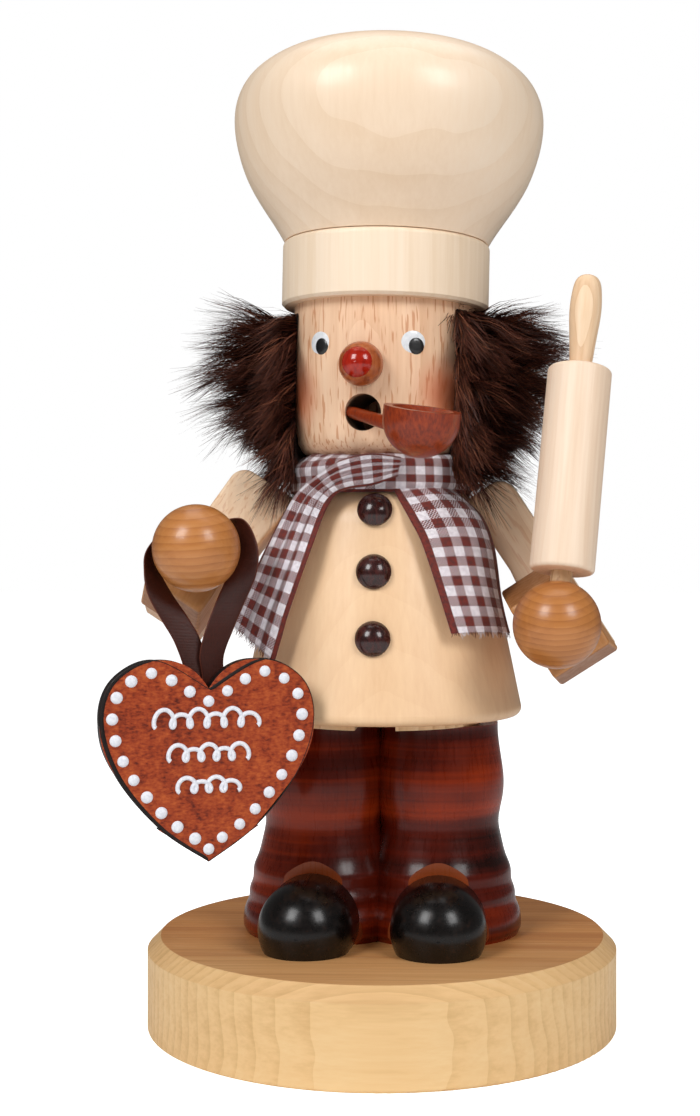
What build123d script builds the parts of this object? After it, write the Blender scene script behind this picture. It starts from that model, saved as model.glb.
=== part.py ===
from build123d import *
from math import asin, cos, radians, sin, sqrt, tan
import os

# Incense smoker in the shape of a baker. Millimetres, +Z up, the figure faces -Y.
# The origin is the centre of the base plate's underside. Left and right are those of the picture: -X, +X.

os.makedirs("parts", exist_ok=True)

# Clearances shared by all pieces
glue_gap = 0.05        # round glued dowels and pegs in their holes, on the radius
seat_gap = 0.3         # curved or soft pieces beside a neighbour
cope_gap = 0.15        # pieces cut to a turned neighbour, to its surface
lift_gap = 0.1         # between the lift-off jacket and the waist plate, on the radius
overrun = 2.0          # how far a cutting shape passes the face that it cuts

# Base plate
base_d = 140.0
base_t = 27.2
base_chamfer = 3.9
base_foot_round = 0.8

# Trouser legs: waved spindles, cut flat inside and behind the shoes
leg_h = 62.6
leg_r = 24.7
leg_x = 17.0
leg_foot_in = 0.9
leg_height_shares = (
    0.03, 0.075, 0.12, 0.16, 0.20, 0.25, 0.30, 0.36, 0.45, 0.525, 0.585, 0.65, 0.73, 0.80, 0.89, 1.03,
)
leg_radius_shares = (
    1.0, 1.0, 0.975, 0.935, 0.928, 0.888, 0.88, 0.826, 0.765, 0.732, 0.749, 0.782, 0.794, 0.776, 0.741, 0.728,
)

# Shoes: round-nosed cylinders with a flat sole
shoe_r = 13.7
shoe_axis_h = 6.5
shoe_shank = 10.0
shoe_back_y = 20.0
shoe_splay_left = 5.0
shoe_splay_right = 2.0

# Glued dowels
leg_dowel_r = 4.0
leg_dowel_depth = 12.0
leg_dowel_up = 6.0
small_dowel_r = 2.5
small_dowel_depth = 7.0

# Waist plate: the disc that the jacket stands on, grooved below and bored for air
waist_r = 29.5
waist_t = 9.0
air_groove_w = 11.6
air_groove_h = 5.0
air_hole_r = 3.5
air_hole_y = 20.0
tray_recess = 1.0

# Incense tray: pressed metal dish with a raised ring for the cone
tray_r = 15.0
tray_t = 0.6
tray_rim_h = 2.4
tray_ring_r = 6.5
tray_ring_w = 1.0
tray_ring_h = 1.0
tray_gap = 0.1

# Jacket: turned bell with a bored chamber
jacket_r = 42.4
jacket_drop = 6.8
jacket_foot_round = 2.5
jacket_flare = 11.7
jacket_side_h = 57.0
shoulder_r = 16.0
chamber_r = 25.0
chamber_h = 46.0
chamber_cone_h = 7.5
smoke_r = 5.0

# Buttons
button_r = 5.0
button_h = 3.6
button_rim = 0.7
button_heights = (24.3, 43.0, 60.5)
button_peg_r = 1.5
button_peg_l = 4.0
button_sink = 0.02

# Neck sleeve
sleeve_r = 10.0
sleeve_jacket_depth = 8.0
sleeve_head_depth = 6.0

# Head: a barrel, leaning and turned a little to the picture's left
neck_gap = 6.2
head_lean = 1.2
head_yaw = 8.7
head_h = 45.7
head_r = 27.4
head_foot_r = 25.2
head_top_r = 27.2
head_belly_share = 0.62
chin_round = 7.0
head_spigot_r = 24.0
head_spigot_h = 10.0
mouth_h = 12.6
mouth_r = 5.3

# Nose
nose_h = 26.0
nose_r = 6.4
nose_stand = 2.4
nose_flat = 4.7
nose_peg_r = 2.5
nose_peg_l = 8.0
nose_tip_h = 2.2
nose_tip_r = 4.35

# Pipe
pipe_tip_x = 3.3
pipe_tip_y = 24.6
pipe_peg = 3.2
pipe_peg_r = 1.5
pipe_run_x = 24.6
pipe_run_y = 22.0
pipe_drop = 7.6
pipe_tip_r = 1.7
pipe_end_r = 2.1
bowl_r = 10.6
bowl_wall_h = 2.9
bowl_lean = 12.0
bowl_rise = 3.9
bowl_dish_r = 8.4
bowl_dish = 1.2
bowl_socket = 4.0

# Chef's hat
band_r = 31.1
band_h = 19.4
band_top_round = 1.6
band_foot_chamfer = 0.9
dome_h = 58.2
dome_r = 46.4
dome_start_slope = 62.0
dome_radius_shares = (0.660, 0.774, 0.897, 0.972, 0.999, 0.993, 0.925, 0.836, 0.669, 0.402)
dome_height_shares = (0.000, 0.143, 0.301, 0.464, 0.617, 0.677, 0.805, 0.874, 0.946, 0.985)
hat_dowel_r = 7.0
hat_dowel_depth = 8.0

# Arms
arm_fall = 57.0
elbow_long = 33.0
elbow_wide = 20.0
wrist_upper_in = 6.0
wrist_lower_in = 4.0
wrist_side_in = 0.7
forearm_l = 21.5
forearm_round = 1.1
upper_arm_t = 16.0
upper_arm_bend = 20.0
upper_arm_foot_in = 1.2
upper_arm_top_round = 5.0
upper_arm_round = 1.0
hand_r = 12.1
hand_seat = 0.6

# Each arm: place of the elbow seam with its height above the bell's foot, turn, lift,
# length above the elbow, reach of the inner edge
left_elbow = (-52.4, -16.5, 41.5)
left_arm_yaw = 8.4
left_arm_lift = 14.2
left_arm_rise = 19.0
left_arm_inner_bend = 8.8
left_arm_inner_top = 10.5
right_elbow = (52.8, -10.3, 28.7)
right_arm_yaw = 3.3
right_arm_lift = 0.0
right_arm_rise = 28.0
right_arm_inner_bend = 4.2
right_arm_inner_top = 4.6

# Rolling pin
pin_lean_side = 5.6
pin_lean_back = 11.2
pin_r = 9.0
pin_l = 58.2
pin_edge_round = 1.2
pin_neck_r = 3.0
pin_neck_show = 2.7
pin_neck_depth = 6.0
pin_handle_l = 28.0
pin_handle_r = 4.5
pin_handle_neck_r = 3.1
pin_handle_peg = 6.0
pin_handle_radius_shares = (0.69, 0.72, 0.87, 1.00, 0.93, 0.66)
pin_handle_height_shares = (0.00, 0.09, 0.36, 0.62, 0.82, 0.96)

# Gingerbread heart
heart_w = 58.8
heart_h = 54.6
heart_t = 4.5
heart_turn = 21.0
heart_x = -43.2
heart_y = -54.1
heart_tip_drop = 35.2
heart_notch_share = 0.857
heart_notch_slope = 60.0
heart_tip_slope = 34.0
heart_x_shares = (0.49, 0.88, 1.00, 0.84, 0.45)
heart_z_shares = (1.00, 0.905, 0.70, 0.43, 0.170)

# Satin ribbon over the left wrist
ribbon_w = 10.0
ribbon_t = 0.7
ribbon_end_w = 6.0
ribbon_glue_gap = 0.7
ribbon_wrist_n = 12.5
ribbon_loop_u = 13.4
ribbon_loop_v = 9.9
ribbon_loop_foot_u = 13.0
ribbon_loop_inner_v = 8.6
ribbon_joint = 0.7
ribbon_end_shift = 2.2
ribbon_end_back = 1.1
ribbon_end_drop = 6.0
ribbon_notch_rise = 3.0
ribbon_left_middle = (-59.0, -42.5, 33.0)
ribbon_left_meet = (-47.6, -45.4, 23.5)
ribbon_right_middle = (-41.6, -39.4, 37.4)
ribbon_right_meet = (-45.2, -46.9, 23.0)

# Scarf: cloth thickness, depth of its folds and the collar wound round the neck
scarf_t = 1.1
scarf_fold = 1.3
scarf_bow = 2.4
collar_in_r = 12.5
collar_flat_r = 19.5
collar_flat_h = 5.2
collar_top_r = 24.0
collar_top_h = 6.8
collar_out_r = 27.3
collar_out_h = 1.8
collar_foot_r = 26.2
collar_gap = 0.4
knot_t = 3.6
knot_h = 9.0
knot_foot_drop = 2.4
knot_left = 32.0
knot_arc = 46.0

# Scarf tails: left and right edge of the cloth at each station, from the neck to the hem,
# with heights above the bell's foot
left_tail_folds = 3
left_tail_left = (
    (-25.5, -19.3, 66.4),
    (-27.9, -24, 58),
    (-33.5, -29.4, 45),
    (-37.4, -31.7, 37),
    (-40.8, -32.9, 29),
)
left_tail_right = (
    (-10.3, -29.7, 66.4),
    (-15.3, -32.1, 59),
    (-19.6, -35, 43.5),
    (-24.1, -35.8, 31.5),
    (-27.7, -35.5, 17.9),
)
right_tail_folds = 1
right_tail_left = (
    (6.4, -26.7, 64.9),
    (10.2, -31.3, 58),
    (14.2, -32.9, 51),
    (18.7, -34.7, 38),
    (22.2, -35.4, 25.8),
)
right_tail_right = (
    (23.3, -14.5, 64.9),
    (29.1, -14.9, 58.5),
    (32.3, -16.2, 50.5),
    (34.4, -19.4, 36.5),
    (37.6, -18.4, 25.2),
)

# Hair: fur glued round the head from temple to temple
hair_gap = 0.35
hair_shift_y = 8.0
hair_side_shares = (0.70, 0.92, 1.00, 0.96, 0.70)
hair_height_shares = (0.00, 0.18, 0.42, 0.70, 1.00)
hair_r_x = 50.0
hair_r_y = 40.0
hair_foot_drop = 1.355
hair_top_gap = 1.4
hair_front_y = 14.0
hair_back_x = 22.0
hair_split = 0.6

# Places worked out from the sizes above
diagonal = sqrt(2) / 2
leg_top_z = base_t + leg_h
waist_top_z = leg_top_z + waist_t
jacket_z = waist_top_z - jacket_drop
shoulder_z = jacket_z + jacket_side_h
flare = radians(jacket_flare)
shoulder_start_r = jacket_r - jacket_side_h * tan(flare)
shoulder_centre_r = shoulder_start_r - shoulder_r * cos(flare)
shoulder_centre_z = shoulder_z - shoulder_r * sin(flare)
jacket_top_z = shoulder_centre_z + shoulder_r
head_z = jacket_top_z + neck_gap


def turned(direction, angle):
    """A direction turned about +Z by an angle in degrees."""
    turn = radians(angle)
    x = direction.X * cos(turn) - direction.Y * sin(turn)
    y = direction.X * sin(turn) + direction.Y * cos(turn)
    return Vector(x, y, direction.Z)


def above_foot(x, y, height):
    """A place given by its height above the bell's foot."""
    return Vector(x, y, jacket_z + height)


def squared(direction, normal):
    """The part of a direction that is square to a normal, at unit length."""
    return (direction - normal * direction.dot(normal)).normalized()


def side_plane(frame, height=0.0):
    """A plane that stands on a frame at a height and holds its axis, with Y up the axis."""
    origin = frame.origin + frame.z_dir * height
    return Plane(origin=origin, x_dir=frame.x_dir, z_dir=-frame.y_dir)


def cap_middle(radius, low, high):
    """Middle point of a ball cap's arc from a rim at a height up to the pole."""
    rise = high - low
    ball_r = (radius**2 + rise**2) / (2 * rise)
    turn = asin(radius / ball_r) / 2
    return ball_r * sin(turn), high - ball_r * (1 - cos(turn))


def axis_of(frame):
    """The axis of a frame, for revolving."""
    return Axis(frame.origin, frame.z_dir)


# Frame of the head: its bottom centre, its own left-to-right direction and its axis
head_axis = Vector(sin(radians(head_lean)), 0, cos(radians(head_lean)))
head_right = squared(turned(Vector(1, 0, 0), -head_yaw), head_axis)
head_frame = Plane(origin=(0, 0, head_z), x_dir=head_right, z_dir=head_axis)
hat_frame = head_frame.offset(head_h)
dome_frame = hat_frame.offset(band_h)


# Base plate
with BuildPart() as base_plate:
    with BuildSketch():
        Circle(base_d / 2)
    extrude(amount=base_t)
    chamfer(base_plate.faces().sort_by(Axis.Z)[-1].edges(), base_chamfer)
    fillet(base_plate.faces().sort_by(Axis.Z)[0].edges(), base_foot_round)
    with BuildSketch(Plane.XY.offset(base_t)):
        with Locations((-leg_x, 0), (leg_x, 0)):
            Circle(leg_dowel_r + glue_gap)
    extrude(amount=-leg_dowel_depth - glue_gap, mode=Mode.SUBTRACT)
base_plate.part.label = "base_plate"
export_step(base_plate.part, "parts/base_plate.step")


def shoe_frame(side):
    """Frame at the back of a shoe: origin on its axis, Z forward along the shoe."""
    splay = shoe_splay_left if side < 0 else shoe_splay_right
    forward = turned(Vector(0, -1, 0), side * splay)
    origin = Vector(side * leg_x, 0, base_t + shoe_axis_h) + forward * shoe_back_y
    return Plane(origin=origin, x_dir=turned(Vector(1, 0, 0), side * splay), z_dir=forward)


# Legs: a waved spindle, cut flat inside, at both ends and behind the shoe
def make_leg(side, name):
    points = [(r * leg_r, h * leg_h) for r, h in zip(leg_radius_shares, leg_height_shares)]
    with BuildPart() as leg:
        with BuildSketch(Plane.XZ.shift_origin((side * leg_x, 0, base_t))):
            with BuildLine():
                side_line = Spline(*points)
                Polyline(side_line @ 1, (0, points[-1][1]), (0, 0), (leg_r - leg_foot_in, 0), side_line @ 0)
            make_face()
        revolve(axis=Axis((side * leg_x, 0, base_t), (0, 0, 1)))
        split(bisect_by=Plane.XY.offset(leg_top_z), keep=Keep.BOTTOM)
        split(bisect_by=Plane(origin=(0, 0, 0), z_dir=(side, 0, 0)), keep=Keep.TOP)
        split(bisect_by=shoe_frame(side), keep=Keep.BOTTOM)
        with BuildSketch(shoe_frame(side)):
            Circle(small_dowel_r + glue_gap)
        extrude(amount=-small_dowel_depth - glue_gap, mode=Mode.SUBTRACT)
        with BuildSketch(Plane.XY.offset(base_t)):
            with Locations((side * leg_x, 0)):
                Circle(leg_dowel_r + glue_gap)
        extrude(amount=leg_dowel_depth + glue_gap, mode=Mode.SUBTRACT)
        with BuildSketch(Plane.XY.offset(leg_top_z)):
            with Locations((side * leg_x, 0)):
                Circle(leg_dowel_r + glue_gap)
        extrude(amount=-leg_dowel_depth - glue_gap, mode=Mode.SUBTRACT)
    leg.part.label = name
    export_step(leg.part, f"parts/{name}.step")


make_leg(-1, "leg_left")
make_leg(1, "leg_right")


# Shoes: shank and round nose about a forward axis, cut flat at the sole
def make_shoe(side, name):
    frame = shoe_frame(side)
    with BuildPart() as shoe:
        with BuildSketch(side_plane(frame)):
            with BuildLine():
                shank = Polyline((0, 0), (shoe_r, 0), (shoe_r, shoe_shank))
                middle = (shoe_r * diagonal, shoe_shank + shoe_r * diagonal)
                nose = ThreePointArc(shank @ 1, middle, (0, shoe_shank + shoe_r))
                Line(nose @ 1, (0, 0))
            make_face()
        revolve(axis=axis_of(frame))
        split(bisect_by=Plane.XY.offset(base_t), keep=Keep.TOP)
        with BuildSketch(frame):
            Circle(small_dowel_r + glue_gap)
        extrude(amount=small_dowel_depth + glue_gap, mode=Mode.SUBTRACT)
    shoe.part.label = name
    export_step(shoe.part, f"parts/{name}.step")


make_shoe(-1, "shoe_left")
make_shoe(1, "shoe_right")


# Dowels of the lower figure, in pairs
with BuildPart() as leg_dowels:
    with BuildSketch(Plane.XY.offset(base_t - leg_dowel_depth)):
        with Locations((-leg_x, 0), (leg_x, 0)):
            Circle(leg_dowel_r)
    extrude(amount=2 * leg_dowel_depth)
leg_dowels.part.label = "leg_dowels"
export_step(leg_dowels.part, "parts/leg_dowels.step")

with BuildPart() as waist_dowels:
    with BuildSketch(Plane.XY.offset(leg_top_z - leg_dowel_depth)):
        with Locations((-leg_x, 0), (leg_x, 0)):
            Circle(leg_dowel_r)
    extrude(amount=leg_dowel_depth + leg_dowel_up)
waist_dowels.part.label = "waist_dowels"
export_step(waist_dowels.part, "parts/waist_dowels.step")

with BuildPart() as shoe_dowels:
    for side in (-1, 1):
        with BuildSketch(shoe_frame(side)):
            Circle(small_dowel_r)
        extrude(amount=small_dowel_depth, both=True)
shoe_dowels.part.label = "shoe_dowels"
export_step(shoe_dowels.part, "parts/shoe_dowels.step")


# Waist plate: tray recess, dowel holes, air groove below and two air holes up into the chamber
with BuildPart() as waist_plate:
    with BuildSketch(Plane.XY.offset(leg_top_z)):
        Circle(waist_r)
    extrude(amount=waist_t)
    with BuildSketch(Plane.XY.offset(waist_top_z)):
        Circle(tray_r + tray_gap)
    extrude(amount=-tray_recess, mode=Mode.SUBTRACT)
    with BuildSketch(Plane.XY.offset(leg_top_z)):
        with Locations((-leg_x, 0), (leg_x, 0)):
            Circle(leg_dowel_r + glue_gap)
    extrude(amount=leg_dowel_up + glue_gap, mode=Mode.SUBTRACT)
    with BuildSketch(Plane.XY.offset(leg_top_z)):
        Rectangle(air_groove_w, 2 * waist_r + overrun)
    extrude(amount=air_groove_h, mode=Mode.SUBTRACT)
    with BuildSketch(Plane.XY.offset(leg_top_z)):
        with Locations((0, -air_hole_y), (0, air_hole_y)):
            Circle(air_hole_r)
    extrude(amount=waist_t, mode=Mode.SUBTRACT)
waist_plate.part.label = "waist_plate"
export_step(waist_plate.part, "parts/waist_plate.step")


# Incense tray: rim and a raised ring that holds the cone
tray_z = waist_top_z - tray_recess
with BuildPart() as incense_tray:
    with BuildSketch(Plane.XZ.shift_origin((0, 0, tray_z))):
        with BuildLine():
            Polyline(
                (0, 0),
                (tray_r, 0),
                (tray_r, tray_rim_h),
                (tray_r - tray_t, tray_rim_h),
                (tray_r - tray_t, tray_t),
                (tray_ring_r + tray_ring_w, tray_t),
                (tray_ring_r + tray_ring_w, tray_t + tray_ring_h),
                (tray_ring_r, tray_t + tray_ring_h),
                (tray_ring_r, tray_t),
                (0, tray_t),
                close=True,
            )
        make_face()
    revolve(axis=Axis.Z)
incense_tray.part.label = "incense_tray"
export_step(incense_tray.part, "parts/incense_tray.step")


def bell_slope(z):
    """Angle of the bell's outward direction above the level, at a height, in radians."""
    if z <= shoulder_z:
        return flare
    return asin((z - shoulder_centre_z) / shoulder_r)


def bell_radius(z):
    """Outer radius of the bell at a height."""
    if z <= shoulder_z:
        return jacket_r - (z - jacket_z) * tan(flare)
    return shoulder_centre_r + shoulder_r * cos(bell_slope(z))


def bell_points(extra):
    """Foot, tangent, middle of the arc and top of the bell's half outline, grown outwards by an extra."""
    grown = shoulder_r + extra
    middle = (radians(90) + flare) / 2
    start = (shoulder_centre_r + grown * cos(flare), shoulder_centre_z + grown * sin(flare))
    between = (shoulder_centre_r + grown * cos(middle), shoulder_centre_z + grown * sin(middle))
    foot = (start[0] + (start[1] - jacket_z) * tan(flare), jacket_z)
    return foot, start, between, (shoulder_centre_r, shoulder_centre_z + grown)


def button_frame(height):
    """Frame on the bell's front at a height above its foot, Z out of the wood."""
    z = jacket_z + height
    outward = Vector(0, -cos(bell_slope(z)), sin(bell_slope(z)))
    return Plane(origin=(0, -bell_radius(z), z), x_dir=(1, 0, 0), z_dir=outward)


def arm_frame(side):
    """Frame of an arm: origin in the middle of the elbow seam, X down the arm, Z forward."""
    if side < 0:
        elbow, yaw, lift = left_elbow, left_arm_yaw, radians(left_arm_lift)
    else:
        elbow, yaw, lift = right_elbow, right_arm_yaw, radians(right_arm_lift)
    forward = turned(Vector(0, -cos(lift), sin(lift)), -side * yaw)
    fall = Vector(side * cos(radians(arm_fall)), 0, -sin(radians(arm_fall)))
    return Plane(origin=above_foot(*elbow), x_dir=squared(fall, forward), z_dir=forward)


def arm_rise(side):
    """Length of an upper arm above the middle of the elbow."""
    return elbow_long / 2 + (left_arm_rise if side < 0 else right_arm_rise)


def shoulder_frame(side):
    """Frame of a shoulder dowel: origin on the bell's surface, Z straight out from the axis."""
    spot = arm_frame(side).from_local_coords(Vector(small_dowel_depth - arm_rise(side), 0, -upper_arm_t / 2))
    outward = Vector(spot.X, spot.Y, 0).normalized()
    origin = outward * bell_radius(spot.Z) + Vector(0, 0, spot.Z)
    return Plane(origin=origin, z_dir=outward)


# Jacket: outer bell, then recess, chamber, smoke hole, neck socket, peg and dowel holes
with BuildPart() as jacket:
    with BuildSketch(Plane.XZ):
        foot, start, between, top = bell_points(0)
        with BuildLine():
            Line(foot, start)
            ThreePointArc(start, between, top)
            Polyline(top, (0, top[1]), (0, jacket_z), foot)
        make_face()
    revolve(axis=Axis.Z)
    fillet(jacket.faces().sort_by(Axis.Z)[0].edges(), jacket_foot_round)
    cone_z = waist_top_z + chamber_h
    socket_z = jacket_top_z - sleeve_jacket_depth
    with BuildSketch(Plane.XZ):
        with BuildLine():
            Polyline(
                (0, jacket_z - overrun),
                (waist_r + lift_gap, jacket_z - overrun),
                (waist_r + lift_gap, waist_top_z),
                (chamber_r, waist_top_z),
                (chamber_r, cone_z),
                (smoke_r, cone_z + chamber_cone_h),
                (smoke_r, socket_z),
                (sleeve_r + glue_gap, socket_z),
                (sleeve_r + glue_gap, jacket_top_z + overrun),
                (0, jacket_top_z + overrun),
                close=True,
            )
        make_face()
    revolve(axis=Axis.Z, mode=Mode.SUBTRACT)
    for height in button_heights:
        with BuildSketch(button_frame(height).offset(overrun)):
            Circle(button_peg_r + glue_gap)
        extrude(amount=-button_peg_l - overrun - glue_gap, mode=Mode.SUBTRACT)
    for side in (-1, 1):
        with BuildSketch(shoulder_frame(side).offset(small_dowel_depth)):
            Circle(small_dowel_r + glue_gap)
        extrude(amount=-2 * small_dowel_depth - glue_gap, mode=Mode.SUBTRACT)
jacket.part.label = "jacket"
export_step(jacket.part, "parts/jacket.step")


# Buttons: low domes with a sharp rim, on pegs
def make_button(height, name):
    frame = button_frame(height)
    with BuildPart() as button:
        with BuildSketch(side_plane(frame, button_sink)):
            with BuildLine():
                foot = Polyline((0, 0), (button_r, 0), (button_r, button_rim))
                dome = ThreePointArc(foot @ 1, cap_middle(button_r, button_rim, button_h), (0, button_h))
                Line(dome @ 1, (0, 0))
            make_face()
        revolve(axis=axis_of(frame))
        with BuildSketch(frame.offset(button_sink)):
            Circle(button_peg_r)
        extrude(amount=-button_peg_l - button_sink)
    button.part.label = name
    export_step(button.part, f"parts/{name}.step")


make_button(button_heights[0], "button_bottom")
make_button(button_heights[1], "button_middle")
make_button(button_heights[2], "button_top")


# Upper arms: tapered bars with a rounded shoulder, coped to the jacket
def make_upper_arm(side, name):
    frame = arm_frame(side)
    inner_bend = left_arm_inner_bend if side < 0 else right_arm_inner_bend
    inner_top = left_arm_inner_top if side < 0 else right_arm_inner_top
    top = -arm_rise(side)
    foot = elbow_long / 2 - upper_arm_foot_in
    outer = side * elbow_wide / 2
    inner_foot = -side * (elbow_wide / 2 - upper_arm_foot_in)
    with BuildPart() as upper_arm:
        with BuildSketch(frame):
            with BuildLine():
                Polyline(
                    (top, outer),
                    (foot, outer),
                    (foot, inner_foot),
                    (-upper_arm_bend, -side * inner_bend),
                    (top, -side * inner_top),
                    close=True,
                )
            make_face()
            fillet(vertices().sort_by_distance((top, outer))[0], upper_arm_top_round)
        extrude(amount=-upper_arm_t)
        fillet(upper_arm.edges(), upper_arm_round)
        with BuildSketch(Plane.XZ):
            bell_foot, start, between, bell_top = bell_points(cope_gap)
            with BuildLine():
                Line(bell_foot, start)
                ThreePointArc(start, between, bell_top)
                Polyline(bell_top, (0, bell_top[1]), (0, jacket_z), bell_foot)
            make_face()
        revolve(axis=Axis.Z, mode=Mode.SUBTRACT)
        with BuildSketch(shoulder_frame(side).offset(-overrun)):
            Circle(small_dowel_r + glue_gap)
        extrude(amount=small_dowel_depth + overrun + glue_gap, mode=Mode.SUBTRACT)
        with BuildSketch(frame):
            Circle(small_dowel_r + glue_gap)
        extrude(amount=-small_dowel_depth - glue_gap, mode=Mode.SUBTRACT)
    upper_arm.part.label = name
    export_step(upper_arm.part, f"parts/{name}.step")


make_upper_arm(-1, "upper_arm_left")
make_upper_arm(1, "upper_arm_right")


# Forearms: blocks that taper towards the wrist
def make_forearm(side, name):
    frame = arm_frame(side)
    wrist_long = elbow_long - wrist_upper_in - wrist_lower_in
    wrist_wide = elbow_wide - 2 * wrist_side_in
    wrist_shift = (wrist_upper_in - wrist_lower_in) / 2
    with BuildPart() as forearm:
        with BuildSketch(frame):
            Rectangle(elbow_long, elbow_wide)
        with BuildSketch(frame.offset(forearm_l)):
            with Locations((wrist_shift, 0)):
                Rectangle(wrist_long, wrist_wide)
        loft(ruled=True)
        fillet(forearm.edges(), forearm_round)
        with BuildSketch(frame):
            Circle(small_dowel_r + glue_gap)
        extrude(amount=small_dowel_depth + glue_gap, mode=Mode.SUBTRACT)
        with BuildSketch(frame.offset(forearm_l)):
            Circle(small_dowel_r + glue_gap)
        extrude(amount=-small_dowel_depth - glue_gap, mode=Mode.SUBTRACT)
    forearm.part.label = name
    export_step(forearm.part, f"parts/{name}.step")


make_forearm(-1, "forearm_left")
make_forearm(1, "forearm_right")


def hand_frame(side):
    """Frame at the centre of a hand ball, with Z forward along the forearm."""
    return arm_frame(side).offset(forearm_l + hand_r - hand_seat)


def pin_frame():
    """Frame at the right hand's centre, with Z up the rolling pin."""
    axis = Vector(tan(radians(pin_lean_side)), tan(radians(pin_lean_back)), 1).normalized()
    return Plane(origin=hand_frame(1).origin, x_dir=squared(Vector(1, 0, 0), axis), z_dir=axis)


# Hands: turned balls with a flat seat for the wrist; the right one is bored for the rolling pin
def make_hand(side, name):
    frame = hand_frame(side)
    seat = arm_frame(side).offset(forearm_l)
    with BuildPart() as hand:
        with BuildSketch(side_plane(frame)):
            with BuildLine():
                arc = ThreePointArc((0, -hand_r), (hand_r, 0), (0, hand_r))
                Line(arc @ 1, arc @ 0)
            make_face()
        revolve(axis=axis_of(frame))
        split(bisect_by=seat, keep=Keep.TOP)
        with BuildSketch(seat):
            Circle(small_dowel_r + glue_gap)
        extrude(amount=small_dowel_depth + glue_gap, mode=Mode.SUBTRACT)
        if side > 0:
            with BuildSketch(pin_frame().offset(hand_r - pin_neck_depth)):
                Circle(pin_neck_r + glue_gap)
            extrude(amount=pin_neck_depth + overrun, mode=Mode.SUBTRACT)
    hand.part.label = name
    export_step(hand.part, f"parts/{name}.step")


make_hand(-1, "hand_left")
make_hand(1, "hand_right")


# Dowels of the arms, in pairs
with BuildPart() as shoulder_dowels:
    for side in (-1, 1):
        with BuildSketch(shoulder_frame(side)):
            Circle(small_dowel_r)
        extrude(amount=small_dowel_depth, both=True)
shoulder_dowels.part.label = "shoulder_dowels"
export_step(shoulder_dowels.part, "parts/shoulder_dowels.step")

with BuildPart() as elbow_dowels:
    for side in (-1, 1):
        with BuildSketch(arm_frame(side)):
            Circle(small_dowel_r)
        extrude(amount=small_dowel_depth, both=True)
elbow_dowels.part.label = "elbow_dowels"
export_step(elbow_dowels.part, "parts/elbow_dowels.step")

with BuildPart() as wrist_dowels:
    for side in (-1, 1):
        with BuildSketch(arm_frame(side).offset(forearm_l)):
            Circle(small_dowel_r)
        extrude(amount=small_dowel_depth, both=True)
wrist_dowels.part.label = "wrist_dowels"
export_step(wrist_dowels.part, "parts/wrist_dowels.step")


# Neck sleeve: joins jacket and head and carries the smoke up
with BuildPart() as neck_sleeve:
    with BuildSketch(Plane.XY.offset(jacket_top_z - sleeve_jacket_depth)):
        Circle(sleeve_r)
        Circle(smoke_r, mode=Mode.SUBTRACT)
    extrude(amount=sleeve_jacket_depth + neck_gap + sleeve_head_depth)
neck_sleeve.part.label = "neck_sleeve"
export_step(neck_sleeve.part, "parts/neck_sleeve.step")


def face_frame(height):
    """Frame on the head's axis at a height, with Z out of the face."""
    origin = head_frame.origin + head_frame.z_dir * height
    return Plane(origin=origin, x_dir=head_frame.x_dir, z_dir=-head_frame.y_dir)


def pipe_frame():
    """Frame of the pipe stem: origin at its tip in the mouth, Z out along the stem."""
    tip = head_frame.from_local_coords(Vector(-pipe_tip_x, -pipe_tip_y, mouth_h))
    run = Vector(pipe_run_x - pipe_tip_x, -pipe_run_y - pipe_tip_y, mouth_h - pipe_drop)
    end = head_frame.from_local_coords(run)
    return Plane(origin=tip, z_dir=(end - tip).normalized())


stem_l = sqrt(pipe_run_x**2 + pipe_run_y**2 + pipe_drop**2)
sleeve_room = sleeve_head_depth * sin(radians(head_lean)) + glue_gap

# Head: barrel with its hat spigot, neck socket, smoke channel, mouth and peg holes
with BuildPart() as head:
    with BuildSketch(side_plane(head_frame)):
        with BuildLine():
            foot = Line((0, 0), (head_foot_r, 0))
            belly = ThreePointArc(foot @ 1, (head_r, head_h * head_belly_share), (head_top_r, head_h))
            Polyline(
                belly @ 1,
                (head_spigot_r, head_h),
                (head_spigot_r, head_h + head_spigot_h),
                (0, head_h + head_spigot_h),
                (0, 0),
            )
        make_face()
        fillet(vertices().sort_by_distance((head_foot_r, 0))[0], chin_round)
    revolve(axis=axis_of(head_frame))
    with BuildSketch(head_frame.offset(-overrun)):
        Circle(sleeve_r + sleeve_room)
    extrude(amount=overrun + sleeve_head_depth + seat_gap, mode=Mode.SUBTRACT)
    with BuildSketch(head_frame):
        Circle(smoke_r)
    extrude(amount=mouth_h + mouth_r, mode=Mode.SUBTRACT)
    with BuildSketch(face_frame(mouth_h)):
        Circle(mouth_r)
    extrude(amount=head_r + overrun, mode=Mode.SUBTRACT)
    with BuildSketch(face_frame(nose_h).offset(head_r + overrun)):
        Circle(nose_peg_r + glue_gap)
    extrude(amount=-nose_peg_l - overrun - glue_gap, mode=Mode.SUBTRACT)
    with BuildSketch(pipe_frame()):
        Circle(pipe_end_r + seat_gap)
    extrude(amount=stem_l / 2, mode=Mode.SUBTRACT)
    with BuildSketch(pipe_frame()):
        Circle(pipe_peg_r + glue_gap)
    extrude(amount=-pipe_peg - glue_gap, mode=Mode.SUBTRACT)
head.part.label = "head"
export_step(head.part, "parts/head.step")


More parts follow.
